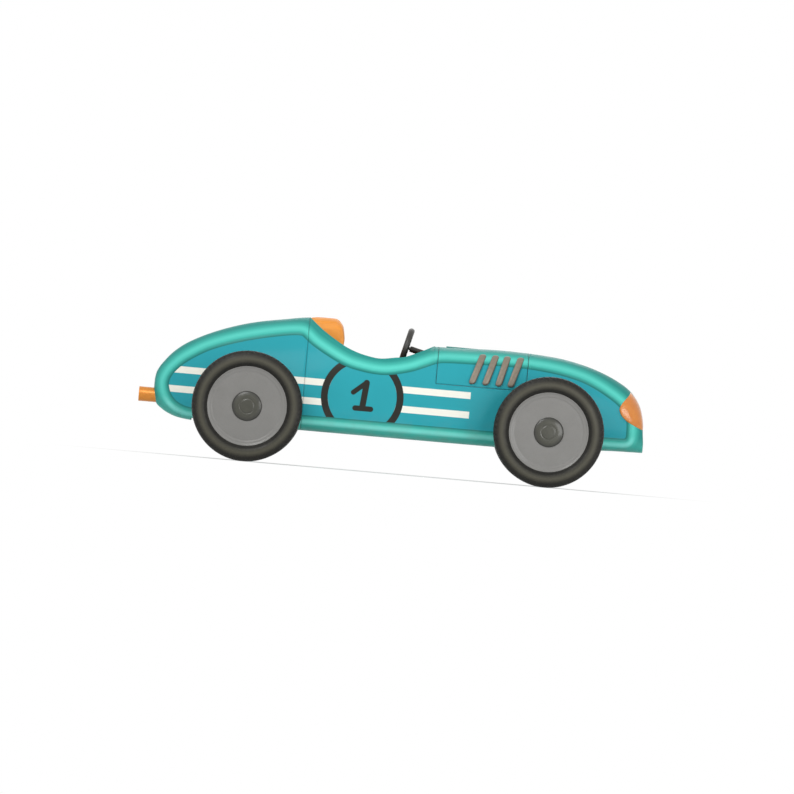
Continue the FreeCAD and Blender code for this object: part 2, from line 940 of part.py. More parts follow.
def pedals():
    low = rail_top + floor_thickness
    pieces = []
    plate_low = low + pedal_rise
    for share in pedal_shares:
        y = y_of(share)
        arm = block(
            pedal_x + pedal_thickness, pedal_x + pedal_thickness + pedal_arm,
            y - pedal_arm / 2, y + pedal_arm / 2, low, plate_low + pedal_height / 2
        )
        plate = block(
            pedal_x, pedal_x + pedal_thickness, y - pedal_width / 2, y + pedal_width / 2,
            plate_low, plate_low + pedal_height
        )
        pieces.append(joined([arm, plate]))
    return Part.makeCompound(pieces)


def engine_block():
    half = engine_half_width
    main = block(engine_rear_x, engine_front_x, -half, half, engine_low, engine_top)
    pieces = [main]
    for x in (engine_rear_x + engine_foot_length, engine_front_x - 2 * engine_foot_length):
        pieces.append(
            block(
                x, x + engine_foot_length, -rail_inner_y, rail_inner_y,
                rail_top - engine_foot_height, rail_top
            )
        )
    return joined(pieces)


def tail_pipe():
    start = Vector(pipe_rear_x, nothing, pipe_z)
    bore = rod(start, Vector(1, nothing, nothing), pipe_bore_radius, pipe_front_x - pipe_rear_x)
    return tail_pipe_body().cut(bore)


# Files: one for each piece

save("nose_cowl", nose_cowl())
save("cockpit_shell", cockpit_shell())
save("tail_shell", tail_shell())
save("grille", grille())
save("radiator", radiator())
save("chassis_frame", chassis_frame())
save("front_springs", spring_pair(front_axle_x))
save("rear_springs", spring_pair(rear_axle_x))
save("front_axle", front_axle())
save("rear_axle", rear_axle())
save("engine_block", engine_block())
save("floor_and_firewall", floor_and_firewall())
save("dash_panel", dash_panel())
save("seat_back", seat_back())
save("seat_cushion", seat_cushion())
save("headrest_pad", headrest_pad())
save("gear_lever", gear_lever())
save("pedals", pedals())
save("steering_wheel", steering_wheel())
save("steering_column", steering_column())
save("tail_pipe", tail_pipe())
save("track_rod", track_rod())

lid = bonnet_lid()
louvres = louvre_set()
lens = lamp_lens()
arm_side = left_knuckle()
for side, shaped in (("left", lambda piece: piece), ("right", mirrored)):
    save("bonnet_" + side, shaped(lid))
    save("bonnet_louvres_" + side, shaped(louvres))
    save("headlamp_lens_" + side, shaped(lens))
    save("knuckle_" + side, shaped(arm_side))

for place, x in (("front", front_axle_x), ("rear", rear_axle_x)):
    pieces = (
        ("tyre", tyre(x)),
        ("disc_wheel", disc_wheel(x)),
        ("hub_cap", hub_cap(x)),
        ("brake_drum", brake_drum(x)),
    )
    for side, shaped in (("left", lambda piece: piece), ("right", mirrored)):
        for name, shape in pieces:
            save(name + "_" + place + "_" + side, shaped(shape))
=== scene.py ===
import math

import bmesh
import bpy
import numpy as np
from mathutils import Matrix, Vector


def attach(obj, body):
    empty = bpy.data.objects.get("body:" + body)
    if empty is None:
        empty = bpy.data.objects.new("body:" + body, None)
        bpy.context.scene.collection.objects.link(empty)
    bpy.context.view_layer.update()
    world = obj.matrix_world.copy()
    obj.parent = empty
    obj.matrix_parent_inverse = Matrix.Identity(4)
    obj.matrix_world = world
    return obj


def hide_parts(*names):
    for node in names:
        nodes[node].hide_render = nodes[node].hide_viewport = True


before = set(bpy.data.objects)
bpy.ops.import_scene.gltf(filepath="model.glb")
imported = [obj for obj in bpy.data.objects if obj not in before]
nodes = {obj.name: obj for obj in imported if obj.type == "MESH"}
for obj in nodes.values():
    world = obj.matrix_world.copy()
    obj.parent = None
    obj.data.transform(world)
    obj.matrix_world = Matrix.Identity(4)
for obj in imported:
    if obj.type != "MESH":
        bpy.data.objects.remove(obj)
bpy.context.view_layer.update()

# Lengths are metres. +X is the nose, +Y the left side, +Z up, and the ground is z = 0.

scene = bpy.context.scene
scene.view_settings.view_transform = "Standard"
across = Vector((0, 1, 0))
ahead = Vector((1, 0, 0))
upward = Vector((0, 0, 1))
axle = {"z": 0.403, "frontX": 1.152492, "rearX": -1.047508, "pinY": 0.535, "armLow": 0.365}


def added(name, data):
    made = bpy.data.objects.new(name, data)
    scene.collection.objects.link(made)
    return made


# Camera and light

picture = {
    "centreX": 0.0325,      # what the middle of the picture looks at
    "centreZ": 0.563,
    "width": 5.772,         # metres across the picture
    "nearSide": 0.55,       # how far the near wheels stand out, where that width is measured
    "tilt": 5.0,            # degrees that the car leans nose down in the picture
    "lens": 800,            # millimetres, so long that near and far wheels look the same size
    "farthest": 500,
}


def addCamera():
    camera = added("photoCamera", bpy.data.cameras.new("photoCamera"))
    camera.data.lens = picture["lens"]
    camera.data.clip_end = picture["farthest"]
    distance = picture["width"] * picture["lens"] / camera.data.sensor_width + picture["nearSide"]
    camera.location = (picture["centreX"], -distance, picture["centreZ"])
    lean = Matrix.Rotation(-math.radians(picture["tilt"]), 4, "Y")
    camera.rotation_euler = (lean @ Matrix.Rotation(math.pi / 2, 4, "X")).to_euler()
    scene.camera = camera


lampSets = (
    # name, place, size, power, aim
    ("keyLamp", (-2.6, -5.2, 4.6), 3.6, 185, (0.0, 0.0, 0.5)),
    ("fillLamp", (3.2, -5.2, 0.9), 3.2, 105, (0.2, 0.0, 0.5)),
    ("backLamp", (0.5, 5.5, 4.0), 4.0, 45, (0.0, 0.0, 0.5)),
)


def addLamps():
    for name, place, size, power, aim in lampSets:
        light = added(name, bpy.data.lights.new(name, "AREA"))
        light.data.shape = "DISK"
        light.data.size = size
        light.data.energy = power
        light.location = place
        light.rotation_euler = (Vector(aim) - Vector(place)).to_track_quat("-Z", "Y").to_euler()


# Shader sums: a wire is a node socket that works in ordinary arithmetic. Colours are screen values, 0 to 255.

def linear(colour, factor=1.0):
    # a screen colour as a node takes it, made darker or lighter by the factor
    shades = []
    for value in colour:
        value = value / 255
        shades.append(factor * (value / 12.92 if value <= 0.04045 else ((value + 0.055) / 1.055) ** 2.4))
    return (*shades, 1.0)


class Wire:
    def __init__(self, tree, socket=None):
        self.tree = tree
        self.socket = socket

    def node(self, kind, values, output=0, **settings):
        made = self.tree.nodes.new("ShaderNode" + kind)
        for name, value in settings.items():
            setattr(made, name, value)
        for key, value in values.items():
            if isinstance(value, Wire):
                value.into(made.inputs[key])
            else:
                made.inputs[key].default_value = value
        return Wire(self.tree, made.outputs[output])

    def into(self, socket):
        self.tree.links.new(self.socket, socket)

    def maths(self, operation, other=0.0):
        return self.node("Math", {0: self, 1: other}, operation=operation)

    def __add__(self, other):
        return self.maths("ADD", other)

    def __sub__(self, other):
        return self.maths("SUBTRACT", other)

    def __mul__(self, other):
        return self.maths("MULTIPLY", other)

    def __truediv__(self, other):
        return self.maths("DIVIDE", other)

    def __abs__(self):
        return self.maths("ABSOLUTE")

    def axes(self):
        return [self.node("SeparateXYZ", {0: self}, output) for output in ("X", "Y", "Z")]

    def noise(self, scale, detail=3.0, roughness=0.5, stretch=None):
        place = self.node("VectorMath", {0: self, 1: stretch}, operation="MULTIPLY") if stretch else self
        values = {"Vector": place, "Scale": scale, "Detail": detail, "Roughness": roughness}
        return self.node("TexNoise", values)

    def ramped(self, low, high, start=0.0, end=1.0):
        limits = {"Value": self, "From Min": low, "From Max": high, "To Min": start, "To Max": end}
        return self.node("MapRange", limits, clamp=True)

    def spread(self, low, high):
        # a noise lies mostly between 0.3 and 0.7
        return self.ramped(0.3, 0.7, low, high)

    def blended(self, first, second):
        # this wire is the share of the second colour
        first, second = (c if isinstance(c, Wire) or len(c) == 4 else linear(c) for c in (first, second))
        return self.node("Mix", {0: self, 6: first, 7: second}, 2, data_type="RGBA")

    def varied(self, colour, low, high):
        return self.blended(linear(colour, low), linear(colour, high))

    def bumped(self, strength, distance, before=None):
        values = {"Height": self, "Strength": strength, "Distance": distance}
        if before:
            values["Normal"] = before
        return self.node("Bump", values)


def distanceOf(x, z):
    return (x * x + z * z).maths("SQRT")


def largest(masks):
    whole = masks[0]
    for mask in masks[1:]:
        whole = whole.maths("MAXIMUM", mask)
    return whole


def newFinish(name, values):
    # a material and the place on the piece as a wire
    material = bpy.data.materials.new(name)
    material.use_nodes = True
    for key, value in {"Coat Roughness": 0.05, **values}.items():
        material.node_tree.nodes["Principled BSDF"].inputs[key].default_value = value
    return material, Wire(material.node_tree).node("TexCoord", {}, "Object")


def dressed(material, colour, roughness, normal):
    inputs = material.node_tree.nodes["Principled BSDF"].inputs
    colour.into(inputs["Base Color"])
    roughness.into(inputs["Roughness"])
    normal.into(inputs["Normal"])
    return material


# Body paint. The panel edge is measured in the mesh, and the shapes on it in side view.

paint = {
    # painted light on the band: a highlight along its middle, shade over its edge and beside the panel, and a
    # lighter tone low down; the plain band colour is the paint's own
    "bandPaintedHighlight": (100, 216, 202),
    "band": (76, 192, 178),
    "bandPaintedShade": (44, 142, 135),
    "bandPaintedEdgeShade": (30, 112, 108),
    "bandLowPaintedHighlight": (138, 240, 230),
    "panel": (50, 162, 174),
    "stripe": (244, 243, 232),
    "ink": (50, 50, 46),
    "dust": (150, 140, 122),
    "stripes": ((0.4825, 0.0245), (0.6245, 0.0245)),    # height of the middle and half width
    "stripeRear": -1.4,
    "stripeFront": 0.566,
    "stripeFall": 0.003,
    "ringX": -0.2195,
    "ringZ": 0.54,
    "ringOuter": 0.301,
    "ringInner": 0.251,
    "edge": 0.0012,
    # depths and heights over which the band's painted shade and painted highlight fade in
    "bandMiddle": -0.047,               # depths over the body's edge, and where each shade starts and is full
    "highlightFade": (0.024, 0.004),
    "besidePanelShade": (-0.026, -0.004),
    "overEdgeShade": (-0.066, -0.098),
    "lowHighlightFade": (0.43, 0.37),            # heights
    "shadeHeightFade": (0.33, 0.42, 0.1, 1.0),
}
digitStrokes = (
    # from x, z to x, z about the middle of the ring, and half the stroke
    (0.024, 0.106, 0.006, -0.078, 0.0225),
    (-0.068, 0.03, 0.022, 0.106, 0.018),
    (-0.046, -0.083, 0.068, -0.083, 0.0195),
)


def under(value, limit):
    # one where the value is under the limit
    return value.ramped(limit + paint["edge"], limit - paint["edge"])


def over(value, limit):
    return value.ramped(limit - paint["edge"], limit + paint["edge"])


def strokeMask(x, z, stroke):
    x0, z0, x1, z1, half = stroke
    length = (x1 - x0) ** 2 + (z1 - z0) ** 2
    share = (((x - x0) * (x1 - x0) + (z - z0) * (z1 - z0)) / length).ramped(0.0, 1.0)
    return under(distanceOf(x - (share * (x1 - x0) + x0), z - (share * (z1 - z0) + z0)), half)


def paintFinish():
    material, place = newFinish("bodyPaint", {"Coat Weight": 0.1, "Coat Roughness": 0.18,
                                              "Specular IOR Level": 0.02})
    x, y, z = place.axes()
    depth = place.node("Attribute", {}, "Fac", attribute_name="panelEdge")

    # the digit reads the same way from both sides
    ringX = (x - paint["ringX"]) * y.ramped(-0.001, 0.001, 1.0, -1.0)
    ringZ = z - paint["ringZ"]
    away = distanceOf(ringX, ringZ)
    outer, inner = paint["ringOuter"], paint["ringInner"]
    ring = under(abs(away - (outer + inner) / 2), (outer - inner) / 2)
    digit = largest([strokeMask(ringX, ringZ, stroke) for stroke in digitStrokes])
    fall = (x - paint["stripeRear"]) * paint["stripeFall"]
    stripes = largest([under(abs(z - middle + fall), half) for middle, half in paint["stripes"]])
    stripes = stripes * over(away, inner) * under(x, paint["stripeFront"])

    # painted shade and highlight: the band is painted darker beside the panel and over the edge, lighter
    # along its middle, and lighter still low down where it faces the ground and lies in shade
    panel = place.noise(2.2, 2.0).varied(paint["panel"], 0.94, 1.05)
    band = place.noise(3.1, 2.0).varied(paint["band"], 0.96, 1.04)
    middle = abs(depth - paint["bandMiddle"]).ramped(*paint["highlightFade"])
    overEdgeShade = depth.ramped(*paint["overEdgeShade"]) * z.ramped(*paint["shadeHeightFade"])
    for share, shade in (
        (middle * 0.8, "bandPaintedHighlight"),
        (middle * z.ramped(*paint["lowHighlightFade"]) * 0.85, "bandLowPaintedHighlight"),
        (depth.ramped(*paint["besidePanelShade"]) * 0.85, "bandPaintedEdgeShade"),
        (overEdgeShade * 0.85, "bandPaintedShade"),
    ):
        band = share.blended(band, paint[shade])
    panel = stripes.blended(panel, paint["stripe"])
    panel = largest([ring, digit]).blended(panel, paint["ink"])
    colour = over(depth, 0.0).blended(band, panel)

    # road dust low down
    dusty = z.ramped(0.46, 0.24) * place.noise(9.0, 5.0, 0.6).ramped(0.42, 0.72) * 0.22
    polish = place.noise(26.0, 4.0).spread(0.31, 0.42) + dusty * 0.8
    ripple = place.noise(420.0, 2.0).bumped(0.12, 0.0004)
    return dressed(material, dusty.blended(colour, paint["dust"]), polish, ripple)


# Finishes of the other pieces

def metalFinish(name, colour, roughness, metallic=1.0, grain=None, wear=0.12, bump=0.1):
    material, place = newFinish(name, {"Metallic": metallic})
    cloud = place.noise(18.0, 4.0, 0.6)
    fine = place.noise(160.0, 3.0, 0.6, grain)
    polish = (cloud + fine).ramped(0.6, 1.4, roughness * 0.8, roughness * 1.2)
    return dressed(material, cloud.varied(colour, 1 - wear, 1 + wear), polish, fine.bumped(bump, 0.0006))


def wheelRadius(place):
    # distance from the nearer axle line
    x, y, z = place.axes()
    middle, reach = (axle["frontX"] + axle["rearX"]) / 2, (axle["frontX"] - axle["rearX"]) / 2
    return distanceOf(abs(x - middle) - reach, z - axle["z"])


def rubberFinish():
    material, place = newFinish("tyreRubber", {"Specular IOR Level": 0.3})
    cloud = place.noise(14.0, 5.0, 0.6)
    wearAndSheen = abs(wheelRadius(place) - 0.343).ramped(0.034, 0.004)     # painted highlight: the sidewall's bulge is painted lighter as a ring, with some scuffing
    dust = place.noise(60.0, 4.0, 0.7).ramped(0.52, 0.8)
    rubber = (wearAndSheen * 0.75).blended(cloud.blended((17, 17, 13), (26, 25, 20)), (80, 78, 66))
    rubber = (dust * 0.25).blended(rubber, (88, 84, 72))
    return dressed(material, rubber, cloud.spread(0.42, 0.62), place.noise(700.0, 2.0).bumped(0.25, 0.0005))


def discFinish():
    material, place = newFinish("discPaint", {"Coat Weight": 0.15})
    grey = place.noise(7.0, 4.0, 0.6).blended((114, 113, 110), (126, 125, 122))
    specks = place.noise(95.0, 5.0, 0.7)
    brakeDust = specks.ramped(0.55, 0.85) * 0.3
    ripple = place.noise(380.0, 2.0).bumped(0.12, 0.0004)
    return dressed(material, brakeDust.blended(grey, (92, 86, 78)), specks.spread(0.38, 0.55), ripple)


def capFinish():
    material, place = newFinish("capPaint", {"Coat Weight": 0.3})
    cloud = place.noise(22.0, 4.0, 0.6)
    # painted shade: the cap is painted darker round its rounded rim
    edge = wheelRadius(place).ramped(0.078, 0.108) * 0.8
    face = edge.blended(cloud.blended((48, 48, 38), (63, 63, 51)), (24, 24, 19))
    return dressed(material, face, cloud.spread(0.3, 0.42), place.noise(300.0, 2.0).bumped(0.1, 0.0004))


def leatherFinish():
    material, place = newFinish("seatLeather", {})
    grain = place.node("TexVoronoi", {"Vector": place, "Scale": 210.0}, feature="DISTANCE_TO_EDGE")
    creases = place.noise(34.0, 5.0, 0.65)
    # the hide is darker where it shows wear
    wearAndSheen = creases.ramped(0.55, 0.8) * 0.25
    hide = wearAndSheen.blended(place.noise(7.0).blended((234, 144, 42), (248, 164, 62)), (196, 112, 44))
    pores = grain.ramped(0.0, 0.12).bumped(0.35, 0.0006)
    return dressed(material, hide, creases.spread(0.38, 0.54), creases.bumped(0.2, 0.0015, pores))


def louvreFinish():
    # painted shade where each scoop meets the lid, and a painted highlight along its crest
    material, place = newFinish("louvreMetal", {"Metallic": 0.2})
    rise = place.node("Attribute", {}, "Fac", attribute_name="rise").ramped(0.002, 0.0095)
    cloud = place.noise(40.0, 4.0, 0.6)
    colour = rise.blended((62, 56, 49), cloud.blended((116, 106, 92), (148, 138, 123)))
    return dressed(material, colour, cloud.spread(0.32, 0.5), place.noise(260.0).bumped(0.15, 0.0005))


def amberFinish():
    material, place = newFinish("amberLens", {
        "Coat Weight": 0.6, "Coat Roughness": 0.03,
        "Subsurface Weight": 0.12, "Subsurface Radius": (0.02, 0.008, 0.002),
    })
    cloud = place.noise(16.0)
    ribs = (place.axes()[2] * 520.0).maths("SINE")
    amber = cloud.blended((208, 118, 26), (228, 142, 46))
    return dressed(material, amber, cloud.spread(0.12, 0.2), ribs.bumped(0.25, 0.0012))


print("camera and light")
addCamera()
addLamps()

finishes = {
    "body": paintFinish(),
    "inside": metalFinish("insideSheet", (150, 152, 150), 0.5, 0.15),
    "frame": metalFinish("framePaint", (52, 54, 54), 0.45, 0.0),
    "spring": metalFinish("springSteel", (86, 84, 80), 0.42, 0.8),
    "iron": metalFinish("engineIron", (112, 112, 108), 0.6, 0.5, bump=0.3),
    "sheet": metalFinish("sheetAluminium", (176, 178, 176), 0.4, 0.35, (0.15, 1, 1)),
    "bright": metalFinish("brightSteel", (196, 196, 190), 0.24),
    "dark": metalFinish("wheelRimDark", (52, 50, 46), 0.42, 0.0, bump=0.25),
    "darkSteel": metalFinish("blackedSteel", (62, 60, 56), 0.36, 0.5),
    "dash": metalFinish("dashSheet", (60, 150, 148), 0.4, 0.0),
    "pipe": metalFinish("pipeMetal", (226, 142, 52), 0.34, 0.3, (0.1, 1, 1), 0.08),
    "louvre": louvreFinish(),
    "grille": metalFinish("grilleMetal", (188, 188, 182), 0.26),
    "core": metalFinish("radiatorMetal", (58, 58, 56), 0.5, 0.7, (1, 1, 9)),
    "drum": metalFinish("drumIron", (92, 88, 84), 0.55, 0.7, bump=0.25),
    "rubber": rubberFinish(),
    "disc": discFinish(),
    "cap": capFinish(),
    "leather": leatherFinish(),
    "amber": amberFinish(),
}


# Building pieces

def meshPlaces(mesh):
    places = np.zeros(len(mesh.vertices) * 3)
    mesh.vertices.foreach_get("co", places)
    return places.reshape(-1, 3)


def setPlaces(mesh, places):
    mesh.vertices.foreach_set("co", np.asarray(places, float).ravel())
    mesh.update()


def smoothed(mesh):
    mesh.polygons.foreach_set("use_smooth", [True] * len(mesh.polygons))


def fitting(name, parts, finish, node=None, body="car_frame", corner=35, weld=0.00002, slot=None):
    points, faces = joinedParts(parts)
    mesh = bpy.data.meshes.new(name)
    mesh.from_pydata([tuple(p) for p in points], [], faces)
    smoothed(mesh)
    mesh.update()
    mesh.set_sharp_from_angle(angle=math.radians(corner))
    mesh.materials.append(finishes[finish])
    piece = added(name, mesh)
    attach(piece, body)
    welded(piece, weld)
    if node:
        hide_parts(node)
    return piece


def onBothSides(name, parts, finish, node=None, body="car_frame", **settings):
    # the left piece and its mirror image; an asterisk stands for the side
    pieces = []
    for side, shaped in (("left", parts), ("right", [mirroredPart(part) for part in parts])):
        replaced = node and node.replace("*", side)
        riding = body.replace("*", side)
        pieces.append(fitting(name + side.capitalize(), shaped, finish, replaced, riding, **settings))
    return pieces


def roundOf(count, shift=0.0):
    # cosine and sine of evenly spaced turns
    turns = [2 * math.pi * (k + shift) / count for k in range(count)]
    return [(math.cos(turn), math.sin(turn)) for turn in turns]


def gridFaces(columns, rows, roundColumns=False, roundRows=False):
    faces = []
    for i in range(columns if roundColumns else columns - 1):
        for j in range(rows if roundRows else rows - 1):
            a, b = i * rows + j, (i + 1) % columns * rows + j
            nextJ = (j + 1) % rows - j
            faces.append((a, b, b + nextJ, a + nextJ))
    return faces


def filleted(corners, steps=4):
    # corners are (along, radius, fillet); returns the line with its corners rounded
    points = []
    last = len(corners) - 1
    for k, (a, r, fillet) in enumerate(corners):
        here = Vector((a, r))
        if fillet <= 0 or k in (0, last):
            points.append(here)
            continue
        back = Vector(corners[k - 1][:2]) - here
        forth = Vector(corners[k + 1][:2]) - here
        reach = min(fillet, back.length * 0.49, forth.length * 0.49)
        start = here + back.normalized() * reach
        end = here + forth.normalized() * reach
        for n in range(steps + 1):
            t = n / steps
            points.append(start * (1 - t) ** 2 + here * 2 * t * (1 - t) + end * t ** 2)
    return points


def turned(corners, sides, centre, axis, steps=4):
    # a lathe shape as points and faces; a profile that ends on the axis is closed there
    profile = filleted(corners, steps)
    axis = Vector(axis).normalized()
    side = axis.orthogonal().normalized()
    other = axis.cross(side)
    points = []
    for c, s in roundOf(sides):
        spoke = side * c + other * s
        points.extend(Vector(centre) + axis * along + spoke * radius for along, radius in profile)
    return points, gridFaces(sides, len(profile), True)


def joinedParts(parts):
    points, faces = [], []
    for partPoints, partFaces in parts:
        shift = len(points)
        points.extend(partPoints)
        faces.extend(tuple(k + shift for k in face) for face in partFaces)
    return points, faces


def welded(piece, distance):
    made = bmesh.new()
    made.from_mesh(piece.data)
    bmesh.ops.remove_doubles(made, verts=made.verts, dist=distance)
    bmesh.ops.dissolve_degenerate(made, edges=made.edges, dist=distance / 5)
    bmesh.ops.recalc_face_normals(made, faces=made.faces)
    made.to_mesh(piece.data)
    made.free()


def mirroredPart(part):
    points, faces = part
    flipped = [Vector((p[0], -p[1], p[2])) for p in points]
    return flipped, [tuple(reversed(face)) for face in faces]


# Body skin

skin = {
    "tailTip": -1.73998,
    "length": 3.58996,
    "sill": 0.26,
    "depth": 0.828,
    "halfWidth": 0.415,
    "step": 0.01,           # spacing of the mesh lines
    "recess": 0.012,        # how far the side panel lies below the rolled band
    "rollFrom": -0.024,     # the band rolls down to the panel between these distances inside its edge
    "rollTo": 0.004,
    "openingHalf": 0.15,    # half width of the opening below
    "openingRear": -1.45,
    "openingFront": 1.5,
    "tailJoint": -0.65,
    "bonnetRear": 0.305,
    "bonnetFront": 0.966,
    "bonnetLow": 0.684,
    "dashX": 0.278,
    "gap": 0.003,           # between a lid and the panels beside it
    "halfJoint": 0.001,
    "spine": 0.008,
    "lidInner": 0.02,
    "strip": 0.022,         # how far the strips behind the joints reach
    "crown": 0.036,
    "sheet": 0.01,
    "weld": 0.0004,
    "corner": 50,
    "heart": 0.55,          # a height that lies well inside every section
    # openings in the skin: the middle in side view, half of the straight part and the radius
    "rearAxleHole": (-1.0475, 0.403, 0.0, 0.042),
    "frontAxleHole": (1.1525, 0.403, 0.0, 0.032),
    "rodSlot": (1.015, 0.395, 0.01, 0.02),
}

# station, top, bottom, widest line, half width, upper side, top and lower roundness, as shares
bodySections = np.array((
    (0.0000, 0.3430, 0.2379, 0.50, 0.072, 2.00, 2.00, 2.0),
    (0.0020, 0.3956, 0.1827, 0.50, 0.150, 2.00, 2.00, 2.0),
    (0.0072, 0.4481, 0.1275, 0.48, 0.230, 2.10, 2.00, 2.1),
    (0.0167, 0.5086, 0.0907, 0.46, 0.315, 2.10, 1.90, 2.2),
    (0.0315, 0.5848, 0.0526, 0.44, 0.400, 2.20, 1.80, 2.4),
    (0.0543, 0.6676, 0.0197, 0.41, 0.502, 2.20, 1.75, 2.7),
    (0.0877, 0.7503, 0.0040, 0.37, 0.622, 2.20, 1.70, 3.1),
    (0.1379, 0.8423, 0.0000, 0.34, 0.760, 2.20, 1.70, 3.6),
    (0.1936, 0.9146, 0.0000, 0.32, 0.868, 2.20, 1.70, 4.0),
    (0.2493, 0.9606, 0.0000, 0.31, 0.940, 2.20, 1.70, 4.2),
    (0.3050, 0.9974, 0.0000, 0.30, 0.983, 2.25, 1.75, 4.4),
    (0.3440, 1.0000, 0.0000, 0.31, 0.995, 2.35, 1.85, 4.5),
    (0.4025, 0.9540, 0.0000, 0.33, 1.000, 2.60, 2.20, 4.5),
    (0.4720, 0.8752, 0.0000, 0.36, 0.995, 3.00, 2.80, 4.5),
    (0.5418, 0.8357, 0.0000, 0.38, 0.975, 3.30, 3.20, 4.5),
    (0.6114, 0.8423, 0.0000, 0.39, 0.935, 3.40, 3.40, 4.5),
    (0.6950, 0.8541, 0.0000, 0.40, 0.860, 3.40, 3.40, 4.5),
    (0.7507, 0.8489, 0.0000, 0.40, 0.825, 3.40, 3.40, 4.4),
    (0.8092, 0.8318, 0.0027, 0.41, 0.785, 3.30, 3.30, 4.2),
    (0.8621, 0.7911, 0.0224, 0.42, 0.740, 3.20, 3.20, 4.0),
    (0.9064, 0.7319, 0.0473, 0.43, 0.692, 3.10, 3.10, 3.9),
    (0.9387, 0.6689, 0.0552, 0.44, 0.648, 3.00, 3.00, 3.8),
    (0.9596, 0.6137, 0.0579, 0.45, 0.608, 3.00, 2.90, 3.7),
    (0.9749, 0.5506, 0.0592, 0.46, 0.566, 3.00, 2.80, 3.6),
    (0.9875, 0.4573, 0.0605, 0.47, 0.512, 3.00, 2.70, 3.5),
    (0.9947, 0.3456, 0.0605, 0.48, 0.460, 3.00, 2.60, 3.4),
    (0.9986, 0.2379, 0.0618, 0.49, 0.410, 3.00, 2.60, 3.3),
    (1.0000, 0.1643, 0.0631, 0.50, 0.370, 3.00, 2.60, 3.2),
))
cockpitEdge = np.array((
    (0.3036, 0.9963), (0.3322, 0.8937), (0.3600, 0.8153), (0.3879, 0.7488), (0.4198, 0.7041),
    (0.4521, 0.6836), (0.4847, 0.7041), (0.4993, 0.7125), (0.5272, 0.7609), (0.5492, 0.8092),
    (0.5620, 0.8394),
))

# where the rolled band meets the side panel, in side view
panelOutline = np.array((
    (-1.638, 0.530), (-1.620, 0.580), (-1.585, 0.628), (-1.530, 0.680), (-1.450, 0.736),
    (-1.360, 0.787), (-1.250, 0.832), (-1.120, 0.874), (-0.980, 0.910), (-0.850, 0.937),
    (-0.760, 0.951), (-0.700, 0.953), (-0.668, 0.932), (-0.620, 0.893), (-0.550, 0.850),
    (-0.450, 0.796), (-0.350, 0.753), (-0.250, 0.730), (-0.150, 0.717), (-0.060, 0.717),
    (0.040, 0.735), (0.140, 0.764), (0.230, 0.803), (0.310, 0.836), (0.390, 0.846),
    (0.550, 0.851), (0.750, 0.857), (0.900, 0.855), (1.050, 0.846), (1.200, 0.828),
    (1.350, 0.795), (1.460, 0.752), (1.560, 0.698), (1.640, 0.645), (1.690, 0.590),
    (1.716, 0.530), (1.722, 0.450), (1.719, 0.412), (1.700, 0.402), (1.620, 0.400),
    (1.450, 0.396), (1.250, 0.384), (1.000, 0.374), (0.600, 0.371), (0.000, 0.371),
    (-0.600, 0.371), (-1.100, 0.366), (-1.350, 0.353), (-1.450, 0.352), (-1.520, 0.366),
    (-1.575, 0.396), (-1.612, 0.438), (-1.632, 0.482),
))


def summed(steps):
    return np.concatenate(((0,), np.cumsum(steps)))


def along(spots, length, *values):
    # the values at places along a line
    return [np.interp(spots, length, value) for value in values]


def evenly(line, count):
    # the same line with its points evenly spaced
    length = summed(np.linalg.norm(np.diff(line, axis=0), axis=1))
    return np.stack(along(np.linspace(0, length[-1], count), length, *line.T), axis=1)


def smoothTable(rows, count):
    # a smooth line through the rows that never swings past them
    rows = np.asarray(rows, float)
    steps = np.diff(rows, axis=0)
    slopes = np.zeros_like(rows)
    same = steps[:-1] * steps[1:] > 0
    with np.errstate(divide="ignore", invalid="ignore"):
        mean = 2 * steps[:-1] * steps[1:] / (steps[:-1] + steps[1:])
    slopes[1:-1] = np.where(same, mean, 0)
    slopes[0], slopes[-1] = steps[0], steps[-1]
    spots = np.linspace(0, len(rows) - 1, count)
    k = np.minimum(spots.astype(int), len(rows) - 2)
    t = (spots - k)[:, None]
    return (
        rows[k] * (2 * t ** 3 - 3 * t ** 2 + 1) + slopes[k] * (t ** 3 - 2 * t ** 2 + t)
        + rows[k + 1] * (3 * t ** 2 - 2 * t ** 3) + slopes[k + 1] * (t ** 3 - t ** 2)
    )


sectionTable = smoothTable(bodySections, 2701)
edgeTable = smoothTable(cockpitEdge, 401)


def closedTable(points, each):
    # a smooth closed line through the points
    count = len(points)
    k = np.repeat(np.arange(count), each)
    t = np.tile(np.arange(each) / each, count)[:, None]
    before, here = points[(k - 1) % count], points[k]
    after, later = points[(k + 1) % count], points[(k + 2) % count]
    return 0.5 * (
        2 * here + (after - before) * t + (2 * before - 5 * here + 4 * after - later) * t ** 2
        + (3 * here - before - 3 * after + later) * t ** 3
    )


panelLine = closedTable(panelOutline, 6)


def sectionAt(x):
    share = (x - skin["tailTip"]) / skin["length"]
    row = [np.interp(share, sectionTable[:, 0], sectionTable[:, k]) for k in range(1, 8)]
    top = skin["sill"] + skin["depth"] * row[0]
    low = skin["sill"] + skin["depth"] * row[1]
    waist = low + row[2] * (top - low)
    return top, low, waist, row[3] * skin["halfWidth"], row[4], row[5], row[6]


def edgeHeight(x):
    share = (x - skin["tailTip"]) / skin["length"]
    return skin["sill"] + skin["depth"] * np.interp(share, edgeTable[:, 0], edgeTable[:, 1])


